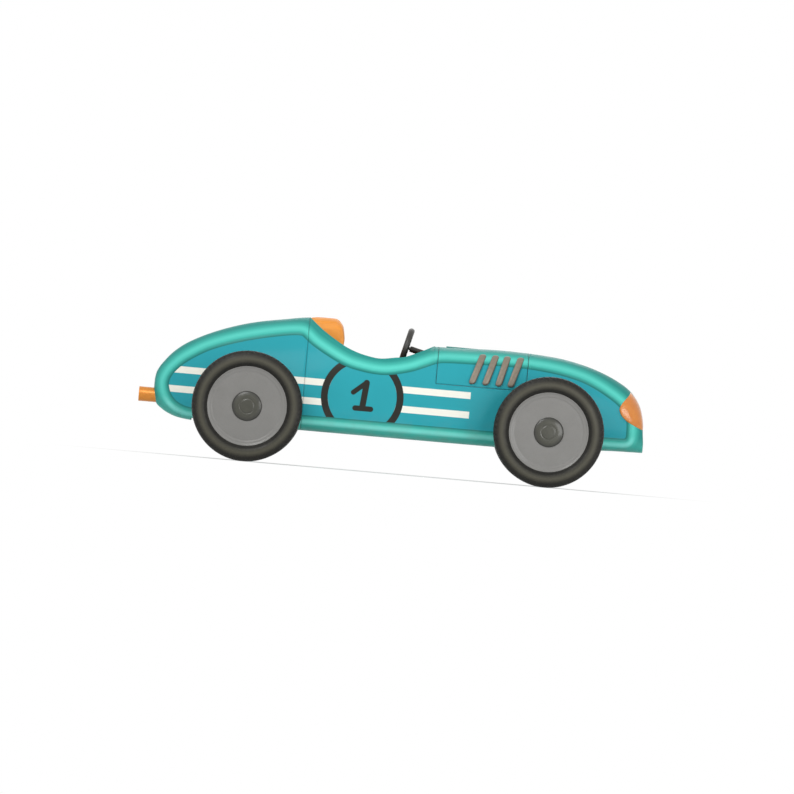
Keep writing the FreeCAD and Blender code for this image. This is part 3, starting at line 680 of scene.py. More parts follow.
def halfSection(x, count=260):
    # the left half of the section from the middle below to the middle on top: y, z and length
    top, low, waist, half, powerY, powerZ, powerLow = sectionAt(x)
    w = np.linspace(0, 1, count)
    turn = math.pi / 2 * w * w * (3 - 2 * w)
    lowY = half * np.cos(turn) ** (2 / powerLow)
    lowZ = waist - (waist - low) * np.sin(turn) ** (2 / powerLow)
    highY = half * np.cos(turn) ** (2 / powerY)
    highZ = waist + (top - waist) * np.sin(turn) ** (2 / powerZ)
    y = np.concatenate((lowY[::-1], highY[1:]))
    z = np.concatenate((lowZ[::-1], highZ[1:]))
    y[0] = y[-1] = 0
    return y, z, summed(np.hypot(np.diff(y), np.diff(z)))


def skinY(x, z):
    # how far out the skin lies at a height, seen from the side
    top, low, waist, half, powerY, powerZ, powerLow = sectionAt(x)
    if z >= waist:
        rest = 1 - min(max((z - waist) / (top - waist), 0), 1) ** powerZ
        return half * rest ** (1 / powerY)
    rest = 1 - min(max((waist - z) / (waist - low), 0), 1) ** powerLow
    return half * rest ** (1 / powerLow)


def panelDepth(x, z):
    # distance inside the panel outline, less than nothing outside it
    points = np.stack((x, z), axis=1)
    best = np.full(len(points), 1e9)
    within = np.zeros(len(points), bool)
    for a, b in zip(panelLine, np.roll(panelLine, -1, axis=0)):
        run = b - a
        t = np.clip(((points - a) @ run) / (run @ run), 0, 1)
        gap = points - a - t[:, None] * run
        best = np.minimum(best, (gap ** 2).sum(axis=1))
        crosses = (a[1] > points[:, 1]) != (b[1] > points[:, 1])
        if a[1] != b[1]:
            within ^= crosses & (points[:, 0] < a[0] + (points[:, 1] - a[1]) / (b[1] - a[1]) * run[0])
    return np.where(within, 1, -1) * np.sqrt(best)


def stationsBetween(x0, x1):
    fine = np.linspace(x0, x1, 1200)
    values = np.array([sectionAt(x)[:4] for x in fine])
    top, half = values[:, 0], values[:, 3]
    length = summed(np.sqrt(np.diff(fine) ** 2 + np.diff(top) ** 2 * 0.6 + np.diff(half) ** 2))
    count = max(3, int(length[-1] / skin["step"]) + 1)
    return np.interp(np.linspace(0, length[-1], count), length, fine)


def crossing(values, length, target, first, last):
    # where along the section a value is first passed between two lengths
    inside = (length >= first) & (length <= last)
    spots = np.nonzero(inside[:-1] & inside[1:] & ((values[:-1] - target) * (values[1:] - target) <= 0))[0]
    if len(spots) == 0:
        return last
    k = spots[0]
    share = (target - values[k]) / ((values[k + 1] - values[k]) or 1)
    return length[k] + share * (length[k + 1] - length[k])


def bandSpots(kind, x, rows):
    # the places along the section that one band of the skin covers at a station
    y, z, length = halfSection(x)
    whole, widest = length[-1], length[np.argmax(y)]
    border = crossing(y, length, min(skin["openingHalf"], 0.6 * y.max()), 0, widest)
    start, end = border, whole

    def atY(value):
        return crossing(y, length, value, widest, whole)

    def atZ(value):
        return crossing(z, length, value, border, whole)

    if kind == "under":
        start, end = 0, border
    elif kind in ("spine", "crown"):
        start = atY(skin[kind])
    elif kind == "lid":
        start, end = atZ(skin["bonnetLow"] + skin["gap"]), atY(skin["lidInner"])
    elif kind in ("aboveSill", "ledge"):
        start = atZ(skin["bonnetLow"] - skin["strip"])
        end = atZ(skin["bonnetLow"] + skin["strip"]) if kind == "ledge" else whole
    elif kind in ("cockpit", "cowl", "belowLid"):
        middle = atZ(skin["bonnetLow"])
        end = atZ(float(edgeHeight(x))) if kind == "cockpit" else whole
        spots = np.linspace(border, middle, lowRows)
        if kind != "belowLid":
            spots = np.concatenate((spots, np.linspace(middle, end, rows - lowRows + 1)[1:]))
        return y, z, length, spots
    return y, z, length, np.linspace(start, end, rows)


lowRows = 56
sideRows = 108
underRows = 14


def bandPart(kind, x0, x1, rows=sideRows):
    rows = lowRows if kind == "belowLid" else rows
    xs = stationsBetween(x0, x1)
    points = []
    for x in xs:
        y, z, length, spots = bandSpots(kind, x, rows)
        points.extend(Vector((x, a, b)) for a, b in zip(*along(spots, length, y, z)))
    return points, gridFaces(len(xs), rows)


def closedCap(x):
    # a flat wall across the section
    y, z, length = halfSection(x, 60)
    count = 25
    ys, zs = along(np.linspace(0, length[-1], count), length, y, z)
    middle = zs.mean()
    shares = (1.0, 0.66, 0.33, 0.0)
    points = []
    for share in shares:
        points.extend(Vector((x, share * a, middle + share * (b - middle))) for a, b in zip(ys, zs))
    return points, gridFaces(len(shares), count)


def cutOpening(piece, x, z, straight, radius):
    # takes the sheet away inside an oblong, wall by wall
    made = bmesh.new()
    made.from_mesh(piece.data)
    middle = Vector((x, 0, z))
    reach = straight + radius + 0.02
    walls = [(Vector((c, 0, s)), straight * abs(c) + radius) for c, s in roundOf(24)]
    for way, far in walls:
        for face in made.faces:
            away = face.calc_center_median() - middle
            face.tag = abs(away.x) < reach and abs(away.z) < reach
        near = [face for face in made.faces if face.tag]
        for parts in (made.edges, made.verts):
            near += [part for part in parts if any(face.tag for face in part.link_faces)]
        bmesh.ops.bisect_plane(made, geom=near, dist=0.00001, plane_co=middle + way * far, plane_no=way)
    gone = []
    for face in made.faces:
        away = face.calc_center_median() - middle
        if all(away.dot(way) < far for way, far in walls):
            gone.append(face)
    bmesh.ops.delete(made, geom=gone, context="FACES")
    made.to_mesh(piece.data)
    made.free()


def skinPiece(name, node, parts, body="car_frame", bothSides=True, openings=()):
    whole = []
    for part in parts:
        whole += [part, mirroredPart(part)] if bothSides else [part]
    piece = fitting(name, whole, "body", None, body, skin["corner"], skin["weld"])
    for opening in openings:
        cutOpening(piece, *skin[opening])
    finishSkin(piece)
    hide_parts(node)


def panelSink(depth, flat):
    t = np.clip((depth - skin["rollFrom"]) / (skin["rollTo"] - skin["rollFrom"]), 0, 1)
    return skin["recess"] * t * t * (3 - 2 * t) * flat ** 0.5


def storedDepth(mesh):
    # keeps the distance inside the panel edge for the paint
    places = meshPlaces(mesh)
    depth = panelDepth(places[:, 0], places[:, 2])
    mesh.attributes.new("panelEdge", "FLOAT", "POINT").data.foreach_set("value", depth)
    return places, depth


def finishSkin(piece, sunk=0.0, thickness=skin["sheet"]):
    # rolls the band into the panel and gives the sheet its thickness
    mesh = piece.data
    places, depth = storedDepth(mesh)
    normals = np.array([v.normal for v in mesh.vertices])
    outward = places[:, 1:] - np.array((0, skin["heart"]))
    if (normals[:, 1:] * outward).sum() < 0:
        mesh.flip_normals()
        normals = -normals
    places -= normals * (panelSink(depth, np.abs(normals[:, 1]).clip(0, 1)) + sunk)[:, None]
    setPlaces(mesh, places)
    mesh.materials.append(finishes["inside"])
    thickened(piece, thickness, 1)


def thickened(piece, thickness, insideFinish=0):
    sheet = piece.modifiers.new("sheet", "SOLIDIFY")
    sheet.thickness = thickness
    sheet.offset = -1
    sheet.material_offset = insideFinish
    applyModifiers(piece)


def applyModifiers(piece):
    graph = bpy.context.evaluated_depsgraph_get()
    made = bpy.data.meshes.new_from_object(piece.evaluated_get(graph))
    old = piece.data
    piece.modifiers.clear()
    piece.data = made
    bpy.data.meshes.remove(old)


def tailShell():
    tip, rear = skin["tailTip"], skin["openingRear"]
    parts = [
        bandPart("under", tip, rear, underRows),
        bandPart("side", tip, rear),
        bandPart("side", rear, skin["tailJoint"] - skin["halfJoint"]),
        closedCap(tip),
    ]
    skinPiece("tailShell", "tail_shell", parts, openings=("rearAxleHole",))


def cockpitShell():
    rear, front = skin["bonnetRear"], skin["bonnetFront"] - skin["halfJoint"]
    parts = [
        bandPart("cockpit", skin["tailJoint"] + skin["halfJoint"], skin["dashX"]),
        bandPart("cowl", skin["dashX"], rear),
        bandPart("belowLid", rear, front),
        bandPart("spine", rear, front, 3),
    ]
    skinPiece("cockpitShell", "cockpit_shell", parts)


def jointStrips():
    # narrow strips behind the joints between the panels and round the bonnet
    joint, rear, front, reach = skin["tailJoint"], skin["bonnetRear"], skin["bonnetFront"], skin["strip"]
    strips = (
        ("cockpit", joint - reach, joint + 0.012, 60),
        ("aboveSill", rear - 0.018, rear + 0.028, 60),
        ("side", front - reach, front + reach, 60),
        ("ledge", rear - 0.005, front + 0.005, 5),
        ("crown", rear - 0.005, front + 0.005, 5),
    )
    for k, strip in enumerate(strips):
        part = bandPart(*strip)
        piece = fitting("jointStrip%d" % (k + 1), [part, mirroredPart(part)], "inside",
                        corner=skin["corner"], weld=skin["weld"])
        finishSkin(piece, 0.0135, 0.0015)


def tailBulkhead():
    # the wall that closes the tail behind the seat, a little smaller than the section
    points, faces = closedCap(skin["tailJoint"] - 0.006)
    middle = 0.68
    plate = [Vector((p.x, p.y * 0.962, middle + (p.z - middle) * 0.965)) for p in points], faces
    piece = fitting("tailBulkhead", [plate, mirroredPart(plate)], "inside", weld=skin["weld"])
    thickened(piece, 0.004)


def bonnetLids():
    lid = bandPart("lid", skin["bonnetRear"] + skin["gap"], skin["bonnetFront"] - skin["gap"], 58)
    for side, part in (("left", lid), ("right", mirroredPart(lid))):
        skinPiece("bonnet" + side.capitalize(), "bonnet_" + side, [part], "bonnet_" + side, False)


# Nose, with the mouth for the air

mouth = {
    "z": 0.43,
    "halfWidth": 0.15,
    "halfHeight": 0.075,
    "joinX": 1.745,         # the face of the nose is drawn from here to the mouth
    "columns": 34,
    "lip": 0.012,
    "lipDepth": 0.045,
    "roll": 5,              # steps round the lip, and straight ones behind it
    "straight": 3,
}


def faceX(y, z):
    # how far ahead the skin reaches at a point of the face
    low, high = mouth["joinX"] - 0.05, skin["tailTip"] + skin["length"]
    for _ in range(40):
        x = (low + high) / 2
        top, bottom, waist, half, powerY, powerZ, powerLow = sectionAt(x)
        if z >= waist:
            size = (abs(y) / half) ** powerY + ((z - waist) / (top - waist)) ** powerZ
        else:
            size = (abs(y) / half) ** powerLow + ((waist - z) / (waist - bottom)) ** powerLow
        low, high = (x, high) if size < 1 else (low, x)
    return (low + high) / 2


def nosePart():
    # half a face: from the section at joinX to the lip of the mouth, its rows meeting the bands' rows
    y, z, length, upper = bandSpots("side", mouth["joinX"], sideRows)
    spots = np.concatenate((np.linspace(0, upper[0], underRows), upper[1:]))
    outerY, outerZ = along(spots, length, y, z)
    turns = np.arctan2(outerZ - mouth["z"], outerY)
    lip, columns, rows = mouth["lip"], mouth["columns"], len(spots)
    onMiddle = (0, rows - 1)
    points = []
    for i in range(columns):
        share = (i / (columns - 1)) ** 0.8
        for j, turn in enumerate(turns):
            c, s = math.cos(turn), math.sin(turn)
            reach = 1 / math.hypot(c / (mouth["halfWidth"] + lip), s / (mouth["halfHeight"] + lip))
            py = outerY[j] + share * (reach * c - outerY[j])
            pz = outerZ[j] + share * (mouth["z"] + reach * s - outerZ[j])
            py = 0 if j in onMiddle else py
            points.append(Vector((faceX(py, pz), py, pz)))
    rim = points[-rows:]
    centre = Vector((0, 0, mouth["z"]))
    roll, straight = mouth["roll"], mouth["straight"]
    for n in range(1, roll + straight + 1):
        angle = math.pi / 2 * min(n / roll, 1)
        back = lip * (1 - math.cos(angle)) + max(0, n - roll) / straight * (mouth["lipDepth"] - lip)
        for j, edge in enumerate(rim):
            way = Vector((0, edge.y, edge.z)) - centre
            place = centre + way * (1 - lip * math.sin(angle) / way.length)
            points.append(Vector((edge.x - back, 0 if j in onMiddle else place.y, place.z)))
    return points, gridFaces(columns + roll + straight, rows)


def noseCowl():
    join, front = mouth["joinX"], skin["openingFront"]
    parts = [
        bandPart("side", skin["bonnetFront"] + skin["halfJoint"], front),
        bandPart("under", front, join, underRows),
        bandPart("side", front, join),
        nosePart(),
    ]
    skinPiece("noseCowl", "nose_cowl", parts, openings=("frontAxleHole", "rodSlot"))


print("body skin")
tailShell()
tailBulkhead()
cockpitShell()
jointStrips()
bonnetLids()
noseCowl()


# Tyres, with a ribbed and barred tread

wheels = {
    "y": 0.64,
    "pitches": 54,          # bars round the tread
    "barGroove": 0.0055,
    "barLine": ((0.0, 0), (0.07, 1), (0.22, 1), (0.29, 0), (0.64, 0)),      # share of a pitch, groove there
    "skew": 0.55,           # how far round a bar leans, in pitches, over this width
    "skewWidth": 0.06,
    "discSides": 144,
    "sides": 96,
}
tyreLine = (
    # across, radius and how much of the tread's bars is cut there
    (-0.044, 0.2862, 0), (-0.049, 0.2885, 0), (-0.0545, 0.296, 0), (-0.0575, 0.3, 0), (-0.059, 0.3012, 0),
    (-0.0645, 0.3065, 0), (-0.07, 0.315, 0), (-0.0737, 0.326, 0), (-0.075, 0.337, 0), (-0.0746, 0.348, 0),
    (-0.0728, 0.359, 0), (-0.07, 0.369, 0), (-0.0685, 0.3702, 0), (-0.0668, 0.3762, 0), (-0.064, 0.383, 0.3),
    (-0.06, 0.39, 0.8), (-0.055, 0.3958, 1), (-0.049, 0.399, 1), (-0.04, 0.4008, 1), (-0.033, 0.4016, 1),
    (-0.03, 0.4012, 0.6), (-0.0292, 0.3955, 0), (-0.0248, 0.3955, 0), (-0.024, 0.402, 0), (-0.017, 0.4026, 0),
    (-0.0105, 0.4028, 0), (-0.0098, 0.3965, 0), (-0.0058, 0.3965, 0), (-0.005, 0.4029, 0), (0.0, 0.403, 0),
)


def tyrePart(x):
    line = list(tyreLine) + [(-a, r, cut) for a, r, cut in reversed(tyreLine[:-1])]
    pitches, bar = wheels["pitches"], wheels["barLine"]
    points = []
    for pitch in range(pitches):
        for fraction, groove in bar:
            for a, radius, cut in line:
                skew = wheels["skew"] * min(abs(a) / wheels["skewWidth"], 1.0)
                turn = 2 * math.pi * (pitch + fraction + skew) / pitches
                r = radius - wheels["barGroove"] * groove * cut
                out, up = r * math.sin(turn), -r * math.cos(turn)
                points.append(Vector((x + out, wheels["y"] + a, axle["z"] + up)))
    return points, gridFaces(pitches * len(bar), len(line), True, True)


# Disc wheels, caps and drums, turned on the axle line: across from the tyre's middle, radius, rounding

discLine = (
    (0.024, 0.022, 0), (0.0345, 0.022, 0.001), (0.036, 0.108, 0.004), (0.0372, 0.13, 0.01),
    (0.0405, 0.23, 0.01), (0.04, 0.252, 0.006), (0.0432, 0.26, 0.004), (0.044, 0.27, 0.004),
    (0.0455, 0.2775, 0.004), (0.051, 0.2865, 0.004), (0.049, 0.2915, 0.003), (0.044, 0.2895, 0.002),
    (0.04, 0.286, 0.002), (-0.04, 0.286, 0.002), (-0.044, 0.2895, 0.002), (-0.049, 0.2915, 0.003),
    (-0.051, 0.2865, 0.004), (-0.047, 0.278, 0.004), (-0.038, 0.274, 0.004), (-0.01, 0.27, 0.01),
    (0.018, 0.235, 0.02), (0.027, 0.17, 0.02), (0.024, 0.12, 0.01), (0.024, 0.022, 0),
)
capLine = (
    (0.0362, 0.0, 0), (0.0362, 0.106, 0.001), (0.0372, 0.1085, 0.002), (0.0412, 0.108, 0.003),
    (0.047, 0.101, 0.008), (0.0525, 0.08, 0.02), (0.0535, 0.06, 0.004), (0.052, 0.056, 0.003),
    (0.0522, 0.051, 0.003), (0.0552, 0.046, 0.006), (0.056, 0.0, 0),
)
drumGrooves = [
    (at + shift, radius, 0.002) for at in (-0.054, -0.0405, -0.027)
    for shift, radius in ((0, 0.15), (0.0015, 0.144), (0.006, 0.144), (0.0075, 0.15))
]
drumLine = (
    (-0.062, 0.0202, 0), (-0.062, 0.14, 0.003), (-0.062, 0.15, 0.003), *drumGrooves,
    (-0.009, 0.148, 0.004), (-0.006, 0.12, 0.006), (-0.006, 0.072, 0.008), (0.004, 0.06, 0.006),
    (0.0236, 0.059, 0.002), (0.0236, 0.0202, 0),
)


def wheelSet():
    for place in ("front", "rear"):
        x = axle[place + "X"]
        centre = (x, wheels["y"], axle["z"])
        kinds = (
            ("tyre", "tyre_", "rubber", tyrePart(x)),
            ("discWheel", "disc_wheel_", "disc", turned(discLine, wheels["discSides"], centre, across, 3)),
            ("hubCap", "hub_cap_", "cap", turned(capLine, wheels["sides"], centre, across)),
            ("brakeDrum", "brake_drum_", "drum", turned(drumLine, wheels["sides"], centre, across, 2)),
        )
        for side in ("left", "right"):
            for name, node, finish, part in kinds:
                shaped = part if side == "left" else mirroredPart(part)
                fitting(name + place.capitalize() + side.capitalize(), [shaped], finish,
                        node + place + "_" + side, "wheel_" + place + "_" + side, 40, 0.00005)


print("wheels")
wheelSet()


# Blocks with eased edges, straight rods and strips, for the smaller pieces

def easedBlock(start, end, ease=0.002, segments=2):
    # a block between two opposite corners
    low, high = Vector(map(min, start, end)), Vector(map(max, start, end))
    middle, size = (low + high) / 2, high - low
    made = bmesh.new()
    bmesh.ops.create_cube(made, size=1)
    for vertex in made.verts:
        vertex.co = Vector(vertex.co[k] * size[k] + middle[k] for k in range(3))
    ease = min(ease, min(size) * 0.45)
    bmesh.ops.bevel(made, geom=made.edges[:], offset=ease, segments=segments, profile=0.5, affect="EDGES")
    made.verts.index_update()
    points = [vertex.co.copy() for vertex in made.verts]
    faces = [tuple(vertex.index for vertex in face.verts) for face in made.faces]
    made.free()
    return points, faces


def rodPart(start, end, radius, sides=40, ease=0.0015):
    start, end = Vector(start), Vector(end)
    long = (end - start).length
    corners = ((0, 0, 0), (0, radius, ease), (long, radius, ease), (long, 0, 0))
    return turned(corners, sides, start, end - start, 2)


def movedPart(part, matrix):
    return [matrix @ Vector(p) for p in part[0]], part[1]


def bent(value, power):
    return math.copysign(abs(value) ** power, value)


# Louvres: raised scoops with a lip that stands open at the rear

louvre = {
    "lines": (
        # lower end x, z and upper end x, z
        (0.5723, 0.7275, 0.6276, 0.9035), (0.6696, 0.7275, 0.7206, 0.9035),
        (0.7644, 0.7275, 0.8075, 0.9035), (0.8527, 0.7275, 0.9044, 0.9035),
    ),
    "half": 0.025,
    "height": 0.0098,
    "root": 0.017,
    "columns": 46,
    "power": 2.4,           # roundness of the two ends
    "sink": 0.0035,         # how far the ends go into the lid
    "corner": 50,
}
louvreSection = (
    # across, from the front edge to the rear lip and back under it, and share of the height
    (1.0, None), (0.99, 0.0), (0.94, 0.3), (0.84, 0.56), (0.66, 0.78), (0.42, 0.93), (0.12, 1.0),
    (-0.2, 0.99), (-0.52, 0.92), (-0.78, 0.8), (-0.94, 0.66), (-1.0, 0.54), (-0.97, 0.45), (-0.86, 0.44),
    (-0.78, 0.38), (-0.76, None),
)


def skinNormal(x, z):
    d = 0.004
    slopeX = (skinY(x + d, z) - skinY(x - d, z)) / (2 * d)
    slopeZ = (skinY(x, z + d) - skinY(x, z - d)) / (2 * d)
    return Vector((-slopeX, 1, -slopeZ)).normalized()


def louvrePart(line):
    lowX, lowZ, highX, highZ = line
    half, power, columns = louvre["half"], louvre["power"], louvre["columns"]
    long = math.hypot(highX - lowX, highZ - lowZ) + 2 * half
    points = []
    for i in range(columns):
        s = (1 - math.cos(math.pi * i / (columns - 1))) / 2 * long
        end = min(s, long - s)
        full = max(1 - (1 - end / half) ** power, 0) ** (1 / power) if end < half else 1.0
        t = (s - half) / (long - 2 * half)
        midX, z = lowX + t * (highX - lowX), lowZ + t * (highZ - lowZ)
        for v, share in louvreSection:
            x = midX + v * half * full
            height = -louvre["root"]
            if share is not None:
                height = louvre["height"] * share * full - louvre["sink"] * (1 - full)
            points.append(Vector((x, skinY(x, z), z)) + skinNormal(x, z) * height)
    return points, gridFaces(columns, len(louvreSection))


def louvreSets():
    parts = [louvrePart(line) for line in louvre["lines"]]
    pieces = onBothSides("louvres", parts, "louvre", "bonnet_louvres_*", "bonnet_*", corner=louvre["corner"])
    for piece in pieces:
        # the height over the lid, from which the louvres' painted shade and highlight are set
        rises = [abs(v.co.y) - skinY(v.co.x, v.co.z) for v in piece.data.vertices]
        piece.data.attributes.new("rise", "FLOAT", "POINT").data.foreach_set("value", rises)


# Lamp lenses: amber almonds that wrap round the corners of the nose

lamp = {
    # height and x of the rear edge
    "rear": ((0.475, 1.7925), (0.5298, 1.7078), (0.5766, 1.6705), (0.6147, 1.6576),
             (0.647, 1.664), (0.705, 1.695), (0.745, 1.7226)),
    "low": 0.477,
    "high": 0.744,
    "innerY": 0.097,
    "height": 0.0115,
    "root": 0.016,
    "dome": 2.6,
    "roundness": 0.8,
    "grid": 49,
    "evening": 14,          # rounds that even the directions out of the skin
    "rings": 18,
    "sides": 72,
}


def waterline(z, rearX, count):
    # the skin at one height, from the rear of the lamp round to its inner edge
    inner = lamp["innerY"]
    side = [(x, max(skinY(x, z), inner)) for x in np.linspace(rearX, faceX(inner, z), 40)]
    front = [(faceX(y, z), y) for y in np.linspace(side[-1][1], inner, 12)[1:]]
    return np.column_stack((evenly(np.array(side + front), count), np.full(count, z)))


def lensPart():
    count, rings, sides = lamp["grid"], lamp["rings"], lamp["sides"]
    heights = np.linspace(lamp["low"], lamp["high"], count)
    rear = smoothTable(lamp["rear"], 200)
    sheet = np.array([waterline(z, np.interp(z, rear[:, 0], rear[:, 1]), count) for z in heights])
    normals = np.cross(np.gradient(sheet, axis=0), np.gradient(sheet, axis=1))
    for _ in range(lamp["evening"]):
        padded = np.pad(normals, ((1, 1), (1, 1), (0, 0)), mode="edge")
        normals = (padded[:-2, 1:-1] + padded[2:, 1:-1] + padded[1:-1, :-2] + padded[1:-1, 2:]) / 4
        normals /= np.linalg.norm(normals, axis=2, keepdims=True)
    if normals[count // 2, count // 2, 0] < 0:
        normals = -normals
    points = []
    for k in range(rings + 1):
        share = 1.0 if k >= rings else math.sin(math.pi / 2 * k / (rings - 1))
        height = -lamp["root"] if k == rings else lamp["height"] * (1 - share ** lamp["dome"]) ** 0.5
        for c, s in roundOf(sides):
            a = (0.5 + 0.5 * share * bent(c, lamp["roundness"])) * (count - 1)
            b = (0.5 + 0.5 * share * bent(s, lamp["roundness"])) * (count - 1)
            i, j = min(int(b), count - 2), min(int(a), count - 2)
            p, q = b - i, a - j
            place, normal = (
                (grid[i, j] * (1 - q) + grid[i, j + 1] * q) * (1 - p)
                + (grid[i + 1, j] * (1 - q) + grid[i + 1, j + 1] * q) * p for grid in (sheet, normals)
            )
            points.append(Vector(place) + Vector(normal) * height)
    return points, gridFaces(rings + 1, sides, False, True)


def lampLenses():
    onBothSides("lampLens", [lensPart()], "amber", "headlamp_lens_*", corner=60)


# Grille in the mouth

grille = {
    "rear": 1.8105,
    "front": 1.8275,
    "play": 0.0004,
    "ring": 0.0095,
    "ringPower": 0.7,
    "ringSides": 14,
    "sides": 96,
    "bars": 9,
    "barHalf": 0.003,
    "barDepth": 0.86,       # share of the ring's depth
    "barSides": 16,
    "barPlay": 0.004,
}


def grillePiece():
    middleX, halfX = (grille["rear"] + grille["front"]) / 2, (grille["front"] - grille["rear"]) / 2
    wide, high = mouth["halfWidth"], mouth["halfHeight"]
    points = []
    for turnC, turnS in roundOf(grille["sides"]):
        for c, s in roundOf(grille["ringSides"]):
            inward = grille["ring"] / 2 * (1 + bent(c, grille["ringPower"]))
            x = middleX + halfX * bent(s, grille["ringPower"])
            y = (wide - grille["play"] - inward) * turnC
            points.append(Vector((x, y, mouth["z"] + (high - grille["play"] - inward) * turnS)))
    parts = [(points, gridFaces(grille["sides"], grille["ringSides"], True, True))]
    for k in range(grille["bars"]):
        y = (k + 1) * (2 * wide / (grille["bars"] + 1)) - wide
        reach = high * math.sqrt(1 - (y / wide) ** 2) - grille["barPlay"]
        bar = [Vector((middleX + halfX * grille["barDepth"] * c, y + grille["barHalf"] * s, z))
               for z in (mouth["z"] - reach, mouth["z"] + reach) for c, s in roundOf(grille["barSides"])]
        parts.append((bar, gridFaces(2, grille["barSides"], False, True)))
    fitting("grille", parts, "grille", "grille", corner=50)


# Steering wheel and its column

steering = {
    "centre": (0.06649, 0, 0.92902),
    "tilt": 14,
    "rim": 0.124,
    "tube": 0.0225,
    "around": 168,
    "tubeSides": 20,
    "grips": 28,            # finger waves on the far side
    "gripDepth": 0.0008,
    "spokes": (30, 150, 270),
    "bolts": 6,
    "boltCircle": 0.0215,
}
steeringTurn = Matrix.Rotation(math.radians(steering["tilt"]), 4, "Y")
steeringPlace = Matrix.Translation(steering["centre"]) @ steeringTurn


def onShaft(corners, sides, steps=4, spot=(0, 0, 0)):
    # a lathe shape in line with the steering column
    return movedPart(turned(corners, sides, spot, ahead, steps), steeringPlace)


def steeringWheel():
    around, reach = steering["around"], steering["rim"]
    rim = []
    for k in range(around):
        turn = 2 * math.pi * k / around
        for c, s in roundOf(steering["tubeSides"]):
            r = steering["tube"] + steering["gripDepth"] * math.cos(turn * steering["grips"]) * max(c, 0)
            out = reach + r * s
            rim.append(Vector((r * c, -out * math.sin(turn), out * math.cos(turn))))
    part = movedPart((rim, gridFaces(around, steering["tubeSides"], True, True)), steeringPlace)
    fitting("steeringRim", [part], "dark", None, "steering_wheel")

    metal = []
    points, faces = easedBlock((-0.003, -0.0115, 0.018), (0.003, 0.0115, reach), 0.0026, 3)
    spoke = []
    for p in points:
        # each spoke narrows outward and bows a little away from the driver
        share = p.z / reach
        spoke.append(Vector((p.x - 0.004 * math.sin(share * math.pi), p.y * (1.12 - 0.35 * share), p.z)))
    for angle in steering["spokes"]:
        turn = Matrix.Rotation(math.radians(angle), 4, "X")
        metal.append(movedPart((spoke, faces), steeringPlace @ turn))
    metal.append(onShaft(((-0.0118, 0, 0), (-0.0118, 0.017, 0.003), (-0.0085, 0.027, 0.004),
                          (0.008, 0.0278, 0.004), (0.0218, 0.016, 0.004), (0.0218, 0, 0)), 56))
    for c, s in roundOf(steering["bolts"]):
        spot = Vector((-0.0095, steering["boltCircle"] * c, steering["boltCircle"] * s))
        metal.append(onShaft(((0.0, 0, 0), (-0.0005, 0.003, 0.0006), (0.003, 0.0031, 0)), 6, 2, spot))
    metal.append(movedPart(rodPart((0.016, 0, 0), (0.12, 0, 0), 0.0109), steeringPlace))
    fitting("steeringSpokes", metal, "darkSteel", "steering_wheel", "steering_wheel")


def steeringColumn():
    jacket = ((0.03, 0.0112, 0), (0.03, 0.0205, 0.002), (0.046, 0.022, 0.003), (0.1985, 0.022, 0.002),
              (0.2215, 0.022, 0.001), (0.2215, 0, 0))
    collar = ((0.186, 0.0222, 0), (0.1865, 0.0268, 0.002), (0.196, 0.0268, 0.002), (0.1965, 0.0222, 0))
    parts = [onShaft(line, 48, 3) for line in (jacket, collar)]
    fitting("steeringColumn", parts, "darkSteel", "steering_column", slot="bright_steel")


# Lever and pedals

lever = (0.04, -0.262, 0.372)       # its foot on the floor
leverLines = (
    # name, finish, replaced node, sides, rounding steps, and height, radius and rounding from the foot up
    ("leverBoot", "rubber", None, 48, 2, (
        (0, 0.0258, 0), (0.003, 0.0258, 0.001), (0.0042, 0.0215, 0.001), (0.0062, 0.0225, 0.001),
        (0.0078, 0.017, 0.001), (0.0098, 0.018, 0.001), (0.0116, 0.012, 0.001), (0.0138, 0.0125, 0.001),
        (0.0139, 0.006, 0))),
    ("leverStick", "bright", "gear_lever", 32, 2, (
        (0.01, 0.0078, 0), (0.06, 0.0072, 0.01), (0.262, 0.0058, 0))),
    ("leverKnob", "dark", None, 40, 5, (
        (0.25, 0, 0), (0.25, 0.0085, 0.002), (0.254, 0.015, 0.006), (0.268, 0.0198, 0.012),
        (0.286, 0.015, 0.012), (0.2879, 0, 0))),
)
pedals = {
    "names": ("clutch", "brake", "throttle"),
    "spacing": 0.13,
    "arm": ((0.2132, -0.0065, 0.3725), (0.2266, 0.0065, 0.52)),        # two corners
    "plate": ((0.2056, -0.0305, 0.4805), (0.2129, 0.0305, 0.5595)),
    "rib": ((0.205, -0.027, 0.4862), (0.2062, 0.027, 0.4918)),
    "ribs": 6,
    "ribSpacing": 0.0124,
}


def gearLever():
    for name, finish, node, sides, steps, line in leverLines:
        fitting(name, [turned(line, sides, lever, upward, steps)], finish, node)


def pedalSet():
    for k, name in enumerate(pedals["names"]):
        def block(kind, ease, segments, lift=0.0):
            shift = Vector((0, (k - 1) * pedals["spacing"], lift))
            return easedBlock(*(Vector(corner) + shift for corner in pedals[kind]), ease, segments)

        ribs = [block("rib", 0.0005, 1, n * pedals["ribSpacing"]) for n in range(pedals["ribs"])]
        fitting(name + "Arm", [block("arm", 0.003, 3)], "bright", None if k else "pedals")
        fitting(name + "Pad", [block("plate", 0.0028, 3)] + ribs, "sheet")


# Tail pipe with a rolled end

pipe = {"rear": -1.8475, "front": -1.56, "z": 0.425}


def tailPipe():
    long = pipe["front"] - pipe["rear"]
    line = ((long, 0.0465, 0), (long, 0.053, 0.002), (0.016, 0.053, 0.004), (0.012, 0.054, 0.002),
            (0.004, 0.054, 0.003), (0.0, 0.0515, 0.002), (0.0, 0.0485, 0.002), (0.005, 0.0464, 0.002),
            (long, 0.0464, 0))
    fitting("tailPipe", [turned(line, 80, (pipe["rear"], 0, pipe["z"]), ahead)], "pipe", "tail_pipe")


# Axles, knuckles and track rod

